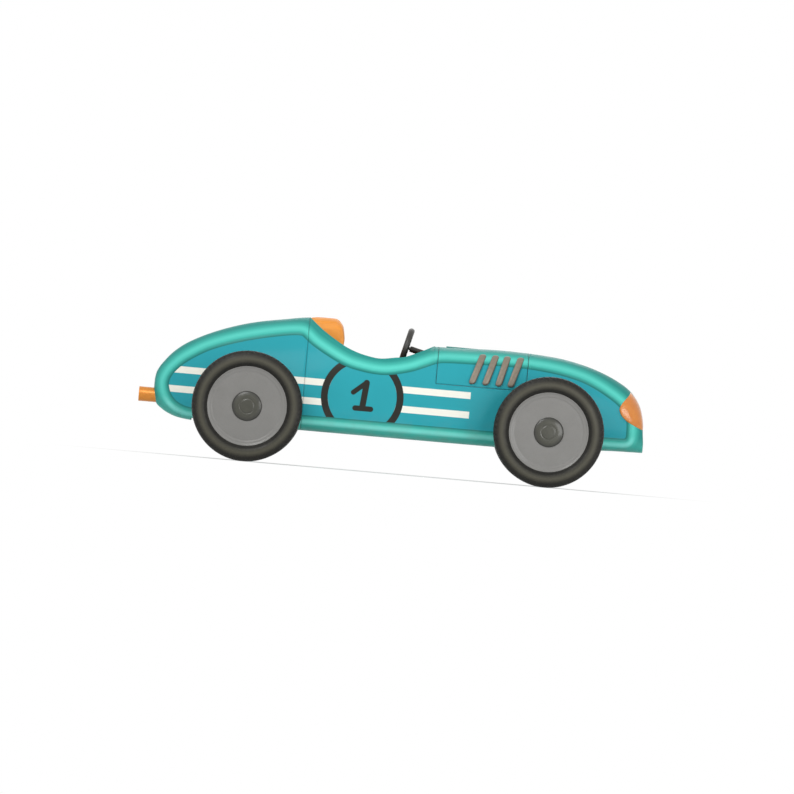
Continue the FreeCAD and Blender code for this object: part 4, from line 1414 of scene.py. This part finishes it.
housing = {"bolts": 10, "boltCircle": 0.09, "boltY": -0.069}
knuckle = {
    "pinHalf": 0.058,
    "pinRadius": 0.0119,
    "upperLug": 0.036,      # height over the axle
    "forkHalf": 0.0205,     # the two flat arms from the lugs to the plate
    "forkOut": 0.569,
    "forkLow": 0.0004,
    "forkTop": 0.0215,
    "armX": 0.03,           # where the steering arm starts: behind the axle, and out from the pin
    "armY": 0.028,
    "armMiddle": 0.009,
    "armHalf": (0.0078, 0.0088),
    "armShort": 0.01,       # how much shorter the bar is than the way to the eye
    "rodBehind": 0.15,
    "rodHeight": 0.03,
    "rodHalf": 0.525,
    "rodRadius": 0.0088,
    "pins": ((1, 0.0059), (-1, 0.0049)),        # side and radius of the rod's pins
}


def springSaddle(x, side):
    inner, outer = side * chassis["leafIn"], side * chassis["leafOut"]
    return easedBlock((x - 0.035, inner, 0.3652), (x + 0.035, outer, axle["z"]))


def ringLine(half, inner, outer, ease=0.002):
    return ((-half, inner, 0), (-half, outer, ease), (half, outer, ease), (half, inner, 0))


def frontAxle():
    x, z = axle["frontX"], axle["z"]
    beam = ((0, 0.0219, 0), (0.5, 0.0219, 0.002), (0.512, 0.0195, 0.002), (0.53, 0.0195, 0))
    eye = ringLine(0.03, 0.0125, 0.0219)
    parts = []
    for side in (1, -1):
        parts.append(turned(beam, 44, (x, 0, z), (0, side, 0), 2))
        parts.append(turned(eye, 44, (x, side * axle["pinY"], z), upward, 2))
        parts.append(springSaddle(x, side))
    fitting("frontAxle", parts, "frame", "front_axle")


def rearAxle():
    x, z = axle["rearX"], axle["z"]
    line = ((0.0, 0.0995, 0), (0.05, 0.099, 0.01), (0.068, 0.085, 0.01), (0.0695, 0.056, 0.004),
            (0.09, 0.04, 0.008), (0.13, 0.0318, 0.01), (0.559, 0.0318, 0.003), (0.5652, 0.05, 0.004),
            (0.5652, 0.1485, 0.002), (0.57, 0.1498, 0.001), (0.5708, 0.02, 0.001), (0.658, 0.0199, 0.001),
            (0.658, 0, 0))
    bolt = ((-0.004, 0, 0), (-0.004, 0.0055, 0.001), (0.006, 0.0055, 0))
    parts = []
    for side in (1, -1):
        parts.append(turned(line, 72, (x, 0, z), (0, side, 0), 3))
        parts.append(springSaddle(x, side))
    for c, s in roundOf(housing["bolts"], 0.5):
        spot = (x + housing["boltCircle"] * c, housing["boltY"], z + housing["boltCircle"] * s)
        parts.append(turned(bolt, 6, spot, across, 1))
    fitting("rearAxle", parts, "iron", "rear_axle")


def knucklePart():
    x, z, y = axle["frontX"], axle["z"], axle["pinY"]
    k = knuckle
    plate = ((-0.075, 0.019, 0), (-0.075, 0.14, 0.002), (-0.075, 0.1498, 0.002),
             (-0.0692, 0.1498, 0.001), (-0.0692, 0.0199, 0.001), (0.0178, 0.0199, 0.002), (0.0178, 0, 0))
    lug = ((0, 0, 0), (0, 0.0219, 0.002), (0.0219, 0.0219, 0.002), (0.0219, 0, 0))
    parts = [rodPart((x, y, z - k["pinHalf"]), (x, y, z + k["pinHalf"]), k["pinRadius"], 36),
             turned(plate, 72, (x, wheels["y"], z), across, 2)]
    for low in (z - k["pinHalf"], z + k["upperLug"]):
        parts.append(turned(lug, 40, (x, y, low), upward, 2))
        parts.append(easedBlock((x - k["forkHalf"], y, low + k["forkLow"]),
                                (x + k["forkHalf"], k["forkOut"], low + k["forkTop"])))
    parts.append(steeringArm())
    return parts


def steeringArm():
    # a bar from the plate back to the eye of the track rod
    x, y, z = axle["frontX"], axle["pinY"], axle["armLow"] + knuckle["armMiddle"]
    start = Vector((x - knuckle["armX"], y + knuckle["armY"], z))
    end = Vector((x - knuckle["rodBehind"], y, z))
    wide, high = knuckle["armHalf"]
    long = (end - start).length - knuckle["armShort"]
    bar = easedBlock((0, -wide, -high), (long, wide, high), 0.003, 3)
    turn = (end - start).normalized().to_track_quat("X", "Z").to_matrix().to_4x4()
    eye = turned(ringLine(0.0089, 0.0061, 0.0149), 36, end, upward, 2)
    return joinedParts([movedPart(bar, Matrix.Translation(start) @ turn), eye])


def knucklesAndRod():
    onBothSides("knuckle", knucklePart(), "drum", "knuckle_*", "knuckle_*", slot="spring_steel")
    x, y, low = axle["frontX"] - knuckle["rodBehind"], axle["pinY"], axle["armLow"]
    z, half, radius = low + knuckle["rodHeight"], knuckle["rodHalf"], knuckle["rodRadius"]
    nut = ((0.47, 0.009, 0), (0.47, 0.0112, 0.001), (0.484, 0.0112, 0.001), (0.484, 0.009, 0))
    rod = [turned(((-half, radius, 0), (half, radius, 0)), 36, (x, 0, z), across, 2)]
    for side, pin in knuckle["pins"]:
        rod.append(turned(ringLine(0.0069, 0, 0.0149, 0.003), 36, (x, side * y, z), upward, 3))
        rod.append(rodPart((x, side * y, low - 0.003), (x, side * y, z), pin, 24))
        rod.append(turned(nut, 6, (x, 0, z), (0, side, 0), 1))
    fitting("trackRod", rod, "bright", "track_rod", "track_rod", slot="spring_steel")


# Chassis, springs, engine and radiator

chassis = {
    "railIn": 0.16, "railOut": 0.2, "railLow": 0.306, "railTop": 0.364,
    "rear": -1.3005, "front": 1.3705,
    "crosses": (-1.2851, -0.7599, 0.27, 0.9001, 1.3201),
    "crossHalf": 0.015, "crossHeight": 0.03,
    "pads": (-0.7599, 0.9001),
    "leafIn": 0.205, "leafOut": 0.245, "leafTop": 0.365, "leaf": 0.009,
    "leafHalves": (0.218, 0.15, 0.085),
    "hanger": 0.018,        # half the length of the block that holds a spring's end
    "hangerDrop": 0.021, "hangerHeight": 0.0208, "hangerBolt": 0.0105,
    "boltHeights": (0.314, 0.328),
}


def hexBolt(place, axis, radius=0.007, height=0.005):
    line = ((-0.002, 0, 0), (-0.002, radius, 0), (height, radius, 0.0012), (height, 0, 0))
    return turned(line, 6, place, axis, 2)


def chassisFrame():
    c = chassis
    hanger, low = c["hanger"], c["leafTop"] - c["leaf"] - c["hangerDrop"]
    padLine = ((-0.01, 0, 0), (-0.01, 0.02, 0.001), (-0.0085, 0.022, 0.001), (-0.01, 0.034, 0.001),
               (-0.0095, 0.0358, 0.002), (0.002, 0.0358, 0), (0.002, 0, 0))
    parts, bolts = [], []
    for side in (1, -1):
        outward, leafY = (0, side, 0), side * c["leafOut"]
        parts.append(easedBlock((c["rear"], side * c["railIn"], c["railLow"]),
                                (c["front"], side * c["railOut"], c["railTop"]), 0.0045, 3))
        for axleX in (axle["frontX"], axle["rearX"]):
            for way in (-1, 1):
                x = axleX + way * (c["leafHalves"][0] - hanger)
                parts.append(easedBlock((x - hanger, side * (c["railOut"] - 0.002), low),
                                        (x + hanger, leafY, low + c["hangerHeight"]), 0.0025))
                bolts.append(hexBolt((x, leafY, low + c["hangerBolt"]), outward))
        bolts += [hexBolt((x, side * c["railOut"], z), outward, 0.0052, 0.003)
                  for x in c["crosses"] for z in c["boltHeights"]]
    wide, half = c["railIn"] + 0.002, c["crossHalf"]
    for x in c["crosses"]:
        parts.append(easedBlock((x - half, -wide, c["railLow"]),
                                (x + half, wide, c["railLow"] + c["crossHeight"]), 0.003))
    parts += [turned(padLine, 48, (x, 0, c["railLow"]), upward, 2) for x in c["pads"]]
    fitting("chassisFrame", parts, "frame", "chassis_frame")
    fitting("chassisBolts", bolts, "bright")


def leafSprings():
    c = chassis
    # the clip round a spring: across and height
    clip = ((0.2025, 0.398), (0.2025, 0.339), (0.2045, 0.336),
            (0.2455, 0.336), (0.2475, 0.339), (0.2475, 0.398))
    for name in ("front", "rear"):
        axleX = axle[name + "X"]
        parts = []
        for side in (1, -1):
            for k, half in enumerate(c["leafHalves"]):
                top = c["leafTop"] - k * c["leaf"]
                parts.append(easedBlock((axleX - half, side * c["leafIn"], top - c["leaf"] + 0.0003),
                                        (axleX + half, side * c["leafOut"], top), 0.0018))
            for x in (axleX - 0.024, axleX + 0.024):
                parts.append(tubePart([Vector((x, side * y, z)) for y, z in clip], 0.0022, 10))
        fitting(name + "Springs", parts, "spring", name + "_springs")


engineBlocks = (
    # two corners, ease and steps of each block
    ((0.34, -0.13, 0.31), (0.86, 0.13, 0.7), 0.007, 3),
    ((0.343, -0.127, 0.699), (0.857, 0.127, 0.705), 0.001, 1),
    ((0.34, -0.13, 0.704), (0.86, 0.13, 0.84), 0.008, 3),
    ((0.39, -0.16, 0.334), (0.44, 0.16, 0.364), 0.003, 2),
    ((0.76, -0.16, 0.334), (0.81, 0.16, 0.364), 0.003, 2),
)
radiatorBlocks = (
    ((1.29, -0.2, 0.364), (1.35, 0.2, 0.404), 0.006, 3),
    ((1.29, -0.2, 0.67), (1.35, 0.2, 0.714), 0.01, 4),
    ((1.292, 0.188, 0.4), (1.348, 0.2, 0.674), 0.0015, 2),
    ((1.292, -0.188, 0.4), (1.348, -0.2, 0.674), 0.0015, 2),
)
radiator = {
    "x": 1.32, "halfDepth": 0.026, "fold": 0.004, "folds": 76,
    "half": 0.19, "low": 0.402, "top": 0.672,
}


def engineAndRadiator():
    bolts = [hexBolt((0.385 + 0.086 * k, y, 0.84), upward, 0.0085, 0.007)
             for k in range(6) for y in (0.104, -0.104)]
    fitting("engineBlock", [easedBlock(*block) for block in engineBlocks], "iron", "engine_block")
    fitting("engineBolts", bolts, "bright")

    r = radiator
    count = 2 * r["folds"]
    front = [(r["x"] + r["halfDepth"] - r["fold"] * (k % 2), -r["half"] + 2 * r["half"] * k / count)
             for k in range(count + 1)]
    line = front + [(2 * r["x"] - x, y) for x, y in reversed(front)]
    core = [Vector((x, y, z)) for z in (r["low"], r["top"]) for x, y in line]
    fitting("radiatorTanks", [easedBlock(*block) for block in radiatorBlocks], "core", "radiator")
    fitting("radiatorCore", [(core, gridFaces(2, len(line), False, True))], "core", corner=20)


def tubePart(path, radius, sides):
    points = []
    side = None
    for k, here in enumerate(path):
        way = (path[min(k + 1, len(path) - 1)] - path[max(k - 1, 0)]).normalized()
        side = (way.orthogonal() if side is None else side - way * side.dot(way)).normalized()
        other = way.cross(side)
        points.extend(here + (side * c + other * s) * radius for c, s in roundOf(sides))
    faces = gridFaces(len(path), sides, False, True)
    last = (len(path) - 1) * sides
    faces += [tuple(reversed(range(sides))), tuple(range(last, last + sides))]
    return points, faces


# Hinges of the bonnet, the rolled rim of the cockpit and the rivets along the joints

hinge = {
    "start": 0.055,         # how far ahead of the bonnet's rear each barrel begins
    "end": 0.006,
    "y": 0.0145,
    "z": 0.959,
    "radius": 0.004,
    "leaves": 13,
}


def bonnetHinges():
    x0 = skin["bonnetRear"] + hinge["start"]
    long = skin["bonnetFront"] - hinge["end"] - x0
    radius = hinge["radius"]
    corners = [(0, 0, 0), (0, radius, 0.0008)]
    for k in range(1, hinge["leaves"]):
        at = long * k / hinge["leaves"]
        corners += [(at - 0.0012, radius, 0), (at - 0.0008, radius - 0.0012, 0),
                    (at + 0.0008, radius - 0.0012, 0), (at + 0.0012, radius, 0)]
    corners += [(long, radius, 0.0008), (long, 0, 0)]
    barrel = turned(corners, 20, (x0, hinge["y"], hinge["z"]), ahead, 1)
    for piece in onBothSides("bonnetHinge", [barrel], "body", None, "bonnet_*"):
        storedDepth(piece.data)


rimBead = {
    "radius": 0.0078,
    "sides": 14,
    "inward": 0.0048,
    "samples": 700,
    "places": 240,
    "smoothing": 6,
    "halfAcross": 0.36,
    "halfUp": 0.42,
    "gap": 0.0012,          # kept free beside the tail joint
    "searchFrom": 0.2,      # the cockpit's front end lies between this x and the dash panel
}


def rimPlace(x):
    y, z, length = halfSection(x, 160)
    spot = crossing(z, length, float(edgeHeight(x)), length[np.argmax(y)], length[-1])
    return Vector((x, *along(spot, length, y, z)))


def cockpitRim():
    # the bead runs from the tail joint down along the cockpit and over the cowl to the other side
    low, high = rimBead["searchFrom"], skin["dashX"]
    for _ in range(40):
        middle = (low + high) / 2
        below = float(edgeHeight(middle)) < sectionAt(middle)[0]
        low, high = (middle, high) if below else (low, middle)
    start = skin["tailJoint"] + rimBead["gap"]
    share = 1 - np.linspace(1, 0, rimBead["samples"]) ** 3
    rough = [rimPlace(start + (low - start) * k) for k in share]
    rough = np.array(rough + [Vector((low, 0, sectionAt(low)[0]))])
    rough = rough[(np.abs(np.gradient(rough[:, 0])) > 0) | (rough[:, 1] == 0)]
    line = evenly(rough, rimBead["places"])
    for _ in range(rimBead["smoothing"]):
        line[1:-1] = (line[:-2] + 2 * line[1:-1] + line[2:]) / 4
    path = []
    for p in line:
        out, up = p[1] / rimBead["halfAcross"] ** 2, (p[2] - skin["heart"]) / rimBead["halfUp"] ** 2
        path.append(Vector(p) - Vector((0, out, up)).normalized() * rimBead["inward"])
    path += [Vector((p.x, -p.y, p.z)) for p in reversed(path[:-1])]
    piece = fitting("cockpitRim", [tubePart(path, rimBead["radius"], rimBead["sides"])], "body", corner=60)
    storedDepth(piece.data)


rivets = {
    "line": ((-0.0008, 0.0042, 0), (0.0004, 0.004, 0.0005), (0.0012, 0.0022, 0.001), (0.0015, 0, 0)),
    "sides": 12,
    "spacing": 0.058,
    "beside": 0.013,        # how far from a joint
    "belowBonnet": 0.671,
    "belowX": (0.34, 0.93, 11),         # first and last x, and how many
    "lowY": 0.165,          # a row starts this far out, and a step further along the skin
    "step": 0.02,
    "highY": 0.07,
    "bonnetEnd": 0.66,      # heights where two rows end
    "cockpitEnd": 1.04,
}


def rivetRow(x, endZ=None):
    y, z, length = halfSection(x)
    widest = length[np.argmax(y)]
    first = crossing(y, length, rivets["lowY"], 0, widest) + rivets["step"]
    last = crossing(y, length, rivets["highY"], widest, length[-1])
    if endZ:
        last = crossing(z, length, endZ, first, last)
    spots = np.linspace(first, last, int((last - first) / rivets["spacing"]) + 1)
    return [rivetPart(x, float(np.interp(s, length, z))) for s in spots]


def rivetPart(x, z):
    normal = skinNormal(x, z)
    depth = panelDepth(np.array((x,)), np.array((z,)))[0]
    spot = Vector((x, skinY(x, z), z)) - normal * float(panelSink(depth, abs(normal.y)))
    return turned(rivets["line"], rivets["sides"], spot, normal, 1)


def panelRivets():
    joint, front, beside = skin["tailJoint"], skin["bonnetFront"], rivets["beside"]
    parts = rivetRow(joint - beside) + rivetRow(front + beside)
    parts += rivetRow(front - beside, rivets["bonnetEnd"])
    parts += [rivetPart(x, rivets["belowBonnet"]) for x in np.linspace(*rivets["belowX"])]
    parts += rivetRow(joint + beside, rivets["cockpitEnd"])
    piece = fitting("panelRivets", parts + [mirroredPart(p) for p in parts], "body", corner=60)
    storedDepth(piece.data)


print("fittings")
chassisFrame()
leafSprings()
engineAndRadiator()
bonnetHinges()
cockpitRim()
panelRivets()
louvreSets()
lampLenses()
grillePiece()
steeringWheel()
steeringColumn()
gearLever()
pedalSet()
tailPipe()
frontAxle()
rearAxle()
knucklesAndRod()


# Leather pads: each swells from its solid, then gets its seams

pads = {
    # how far inside its solid each starts, how far a point may move, mesh size, crown, rounds of smoothing,
    # fill, and the raised cord of its seam: distance from the middle, height, width and the valleys beside it
    "headrest_pad": {"name": "headrestPad", "inset": 0.012, "cap": 0.0045, "voxel": 0.007, "crown": 0.003,
                     "rounds": 5, "fill": 0.7, "cord": (0.134, 0.003, 0.0042, 0.0016)},
    "seat_back": {"name": "seatBack", "inset": 0.017, "cap": 0.015, "voxel": 0.009, "crown": 0.007,
                  "rounds": 6, "fill": 0.6, "cord": (0.17, 0.0032, 0.0045, 0.0018)},
    "seat_cushion": {"name": "seatCushion", "inset": 0.014, "cap": 0.013, "voxel": 0.008, "crown": 0.007,
                     "rounds": 7, "fill": 0.6, "cord": (0.172, 0.0032, 0.0045, 0.0018)},
}
pleat = {"spacing": 0.062, "depth": 0.0065, "width": 0.0075, "reach": 0.15}
swelling = {
    "quality": 5,
    "mass": 0.25,
    "tension_stiffness": 18,
    "compression_stiffness": 12,
    "bending_stiffness": 0.6,
    "use_pressure": True,
    "uniform_pressure_force": 4,
}
swellFrames = 20
padRoom = (0.004, 0.004, 0.006)         # how far a pad may pass its solid, and its gaps below and behind
padLift = 0.0008
padGap = 0.001
headrest = {
    "wall": 0.018,
    "off": 0.0005,          # gap to the tail wall
    "flat": 0.25,           # share of the depth that is kept at the very back
    "reach": 0.03,
    "power": 0.6,
    "clear": 0.015,
    "least": 0.014,
    "droop": 3.4,           # the upper corners fall away from the middle
    "droopFrom": 0.03,
    "droopLow": 0.98,
    "droopOver": 0.1,
}


def startShape(node, settings):
    source = nodes[node]
    mesh = source.data.copy()
    mesh.transform(source.matrix_world)
    piece = added(settings["name"], mesh)
    mesh.materials.clear()
    mesh.materials.append(finishes["leather"])
    places = meshPlaces(mesh)
    low, high = places.min(axis=0), places.max(axis=0)
    middle, half = (low + high) / 2, (high - low) / 2
    setPlaces(mesh, middle + (places - middle) * (1 - settings["inset"] / half))
    remesh = piece.modifiers.new("even", "REMESH")
    remesh.mode = "VOXEL"
    remesh.voxel_size = settings["voxel"]
    applyModifiers(piece)
    return piece, low, high


def swollen(piece, cap):
    # pressure cloth, with each point held to a short way from where it began
    start = meshPlaces(piece.data)
    cloth = piece.modifiers.new("swell", "CLOTH")
    for name, value in swelling.items():
        setattr(cloth.settings, name, value)
    cloth.settings.effector_weights.gravity = 0
    cloth.point_cache.frame_start = 1
    cloth.point_cache.frame_end = swellFrames
    for n in range(1, swellFrames + 1):
        scene.frame_set(n)
    graph = bpy.context.evaluated_depsgraph_get()
    move = meshPlaces(piece.evaluated_get(graph).data) - start
    piece.modifiers.clear()
    scene.frame_set(1)
    far = np.linalg.norm(move, axis=1, keepdims=True)
    setPlaces(piece.data, start + move * np.minimum(1, cap / np.maximum(far, 1e-9)))


def softened(places, mesh, rounds):
    # plain smoothing along the mesh edges
    edges = np.zeros(len(mesh.edges) * 2, int)
    mesh.edges.foreach_get("vertices", edges)
    edges = edges.reshape(-1, 2)
    count = np.zeros(len(places))
    np.add.at(count, edges.ravel(), 1)
    for _ in range(rounds):
        total = np.zeros_like(places)
        np.add.at(total, edges[:, 0], places[edges[:, 1]])
        np.add.at(total, edges[:, 1], places[edges[:, 0]])
        places = places * 0.5 + total / count[:, None] * 0.5
    return places


def ridged(offset, height, width, groove):
    # a raised cord with a shallow valley on each side
    valley = np.exp(-((np.abs(offset) - 2.2 * width) / width) ** 2)
    return height * np.exp(-(offset / width) ** 2) - groove * valley


def pleats(y):
    near = (y + pleat["spacing"] / 2) % pleat["spacing"] - pleat["spacing"] / 2
    dip = -pleat["depth"] * np.exp(-(near / pleat["width"]) ** 2)
    return np.where(np.abs(y) < pleat["reach"], dip, 0)


def seams(node, y, normals):
    # how far the cord stands out and the pleats lie in, on the sides of the pad that have them
    forward, sideways, up = normals[:, 0], np.abs(normals[:, 1]), normals[:, 2]
    middle, height, width, groove = pads[node]["cord"]
    cord = ridged(np.abs(y) - middle, height, width, groove)
    if node == "headrest_pad":
        return cord * (sideways < 0.93)
    if node == "seat_back":
        face = np.clip((forward - 0.35) / 0.3, 0, 1) + np.clip((up - 0.6) / 0.3, 0, 1)
        return pleats(y) * np.clip(face, 0, 1) + cord * (sideways < 0.9)
    return pleats(y) * np.clip((up - 0.3) / 0.3, 0, 1) + cord * (up > -0.3)


def padPiece(node):
    settings = pads[node]
    piece, low, high = startShape(node, settings)
    swollen(piece, settings["cap"])
    setPlaces(piece.data, softened(meshPlaces(piece.data), piece.data, settings["rounds"]))
    divide = piece.modifiers.new("finer", "SUBSURF")
    divide.levels = divide.render_levels = 1
    applyModifiers(piece)
    mesh = piece.data
    places = crowned(meshPlaces(mesh), low, high, settings["crown"])
    if node == "headrest_pad":
        places = softened(insideOpening(places, low[0]), mesh, 2)
    setPlaces(mesh, places)
    normals = np.array([v.normal for v in mesh.vertices])
    places = places + normals * seams(node, places[:, 1], normals)[:, None]
    # the pad keeps to the room round its solid, and off what lies under it and behind it
    room = np.array(padRoom)
    lowest, highest = low - room, high + room
    lowest[2] = low[2] + padLift
    if node == "seat_cushion":
        lowest[0] = low[0] + padGap
    setPlaces(mesh, np.clip(places, lowest, highest))
    smoothed(mesh)
    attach(piece, "car_frame")
    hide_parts(node)


def crowned(places, low, high, crown):
    # each face stands out most at its middle, and the pad fills the room that its solid has
    bottom, top = places.min(axis=0), places.max(axis=0)
    places = low + (places - bottom) / (top - bottom) * (high - low)
    share = (places - (low + high) / 2) / ((high - low) / 2)
    inner = (1 - share ** 2).clip(0, 1)
    bulge = [np.sign(share[:, k]) * np.abs(share[:, k]) ** 6 * inner[:, (k + 1) % 3] * inner[:, (k + 2) % 3]
             for k in range(3)]
    return places + crown * np.stack(bulge, axis=1)


def insideOpening(places, rear):
    # the back of the headrest meets the tail wall and its corners follow the opening of the cockpit
    h, wall = headrest, headrest["wall"]
    fitted = places.copy()
    away = places[:, 0] - rear
    depth = h["flat"] + (1 - h["flat"]) * np.clip(away / h["reach"], 0, 1) ** h["power"]
    fitted[:, 0] = rear + h["off"] + away.clip(0, 1) * depth
    for k, (x, y, z) in enumerate(fitted):
        top, bottom, waist, half, powerY, powerZ, powerLow = sectionAt(x)
        edge = float(edgeHeight(x))
        room = max(skinY(x, min(edge, top)) - h["clear"], h["least"])
        if waist < z < edge:
            rest = 1 - min((z - waist) / (top - wall - waist), 1) ** powerZ
            room = max(room, (half - wall) * rest ** (1 / powerY))
        elif z <= waist:
            room = half - wall
        fitted[k, 1] = max(-room, min(room, y))
        high = min(max((z - h["droopLow"]) / h["droopOver"], 0), 1)
        fitted[k, 2] = z - h["droop"] * max(abs(y) - h["droopFrom"], 0) ** 2 * high
    return fitted


print("pads")
for padNode in pads:
    padPiece(padNode)


# Solids that stay as they are, with their own finishes

keptNodes = {"floor_and_firewall": "sheet", "dash_panel": "dash"}


def dressKept():
    for name, finish in keptNodes.items():
        piece = nodes[name]
        for slotPlace in piece.material_slots:
            slotPlace.material = finishes[finish]
        if not piece.material_slots:
            piece.data.materials.append(finishes[finish])


dressKept()


# Floor and world

ground = {
    "half": 80,
    "colour": (0.82, 0.82, 0.82, 1),
    "along": 0.19,          # the floor turns white over an oval that is longer along the car
    "across": 0.8,
    "whiteFrom": 0.7,
    "whiteTo": 1.08,
    "least": 0.45,
    "light": 0.55,          # of the world on the car
}


def addFloor():
    half = ground["half"]
    mesh = bpy.data.meshes.new("floor")
    corners = [(-half, -half, 0), (half, -half, 0), (half, half, 0), (-half, half, 0)]
    mesh.from_pydata(corners, [], [(0, 1, 2, 3)])
    floor = added("floor", mesh)
    material, place = newFinish("paleFloor", {
        "Roughness": 0.9, "Base Color": ground["colour"], "Specular IOR Level": 0.1,
    })
    x, y, z = place.axes()
    away = (x * x * ground["along"] + y * y * ground["across"]).maths("SQRT")
    share = seenRays(place) * away.ramped(ground["whiteFrom"], ground["whiteTo"], ground["least"], 1.0)
    paper = Wire(place.tree, place.tree.nodes["Principled BSDF"].outputs[0])
    glow = place.node("Emission", {"Color": (1, 1, 1, 1), "Strength": 1.0})
    mixed = place.node("MixShader", {0: share, 1: paper, 2: glow})
    mixed.into(place.tree.nodes["Material Output"].inputs["Surface"])
    mesh.materials.append(material)


def seenRays(wire):
    # rays from the camera, and those that it sees by reflection or through a surface
    kinds = ("Is Camera Ray", "Is Glossy Ray", "Is Transmission Ray")
    return largest([wire.node("LightPath", {}, kind) for kind in kinds])


def addWorld():
    world = bpy.data.worlds.new("studio")
    world.use_nodes = True
    scene.world = world
    background = world.node_tree.nodes["Background"]
    background.inputs["Color"].default_value = (1, 1, 1, 1)
    # the camera sees white, and the light that falls on the car is weaker
    strength = seenRays(Wire(world.node_tree)) * (1 - ground["light"]) + ground["light"]
    strength.into(background.inputs["Strength"])


print("floor and world")
addFloor()
addWorld()
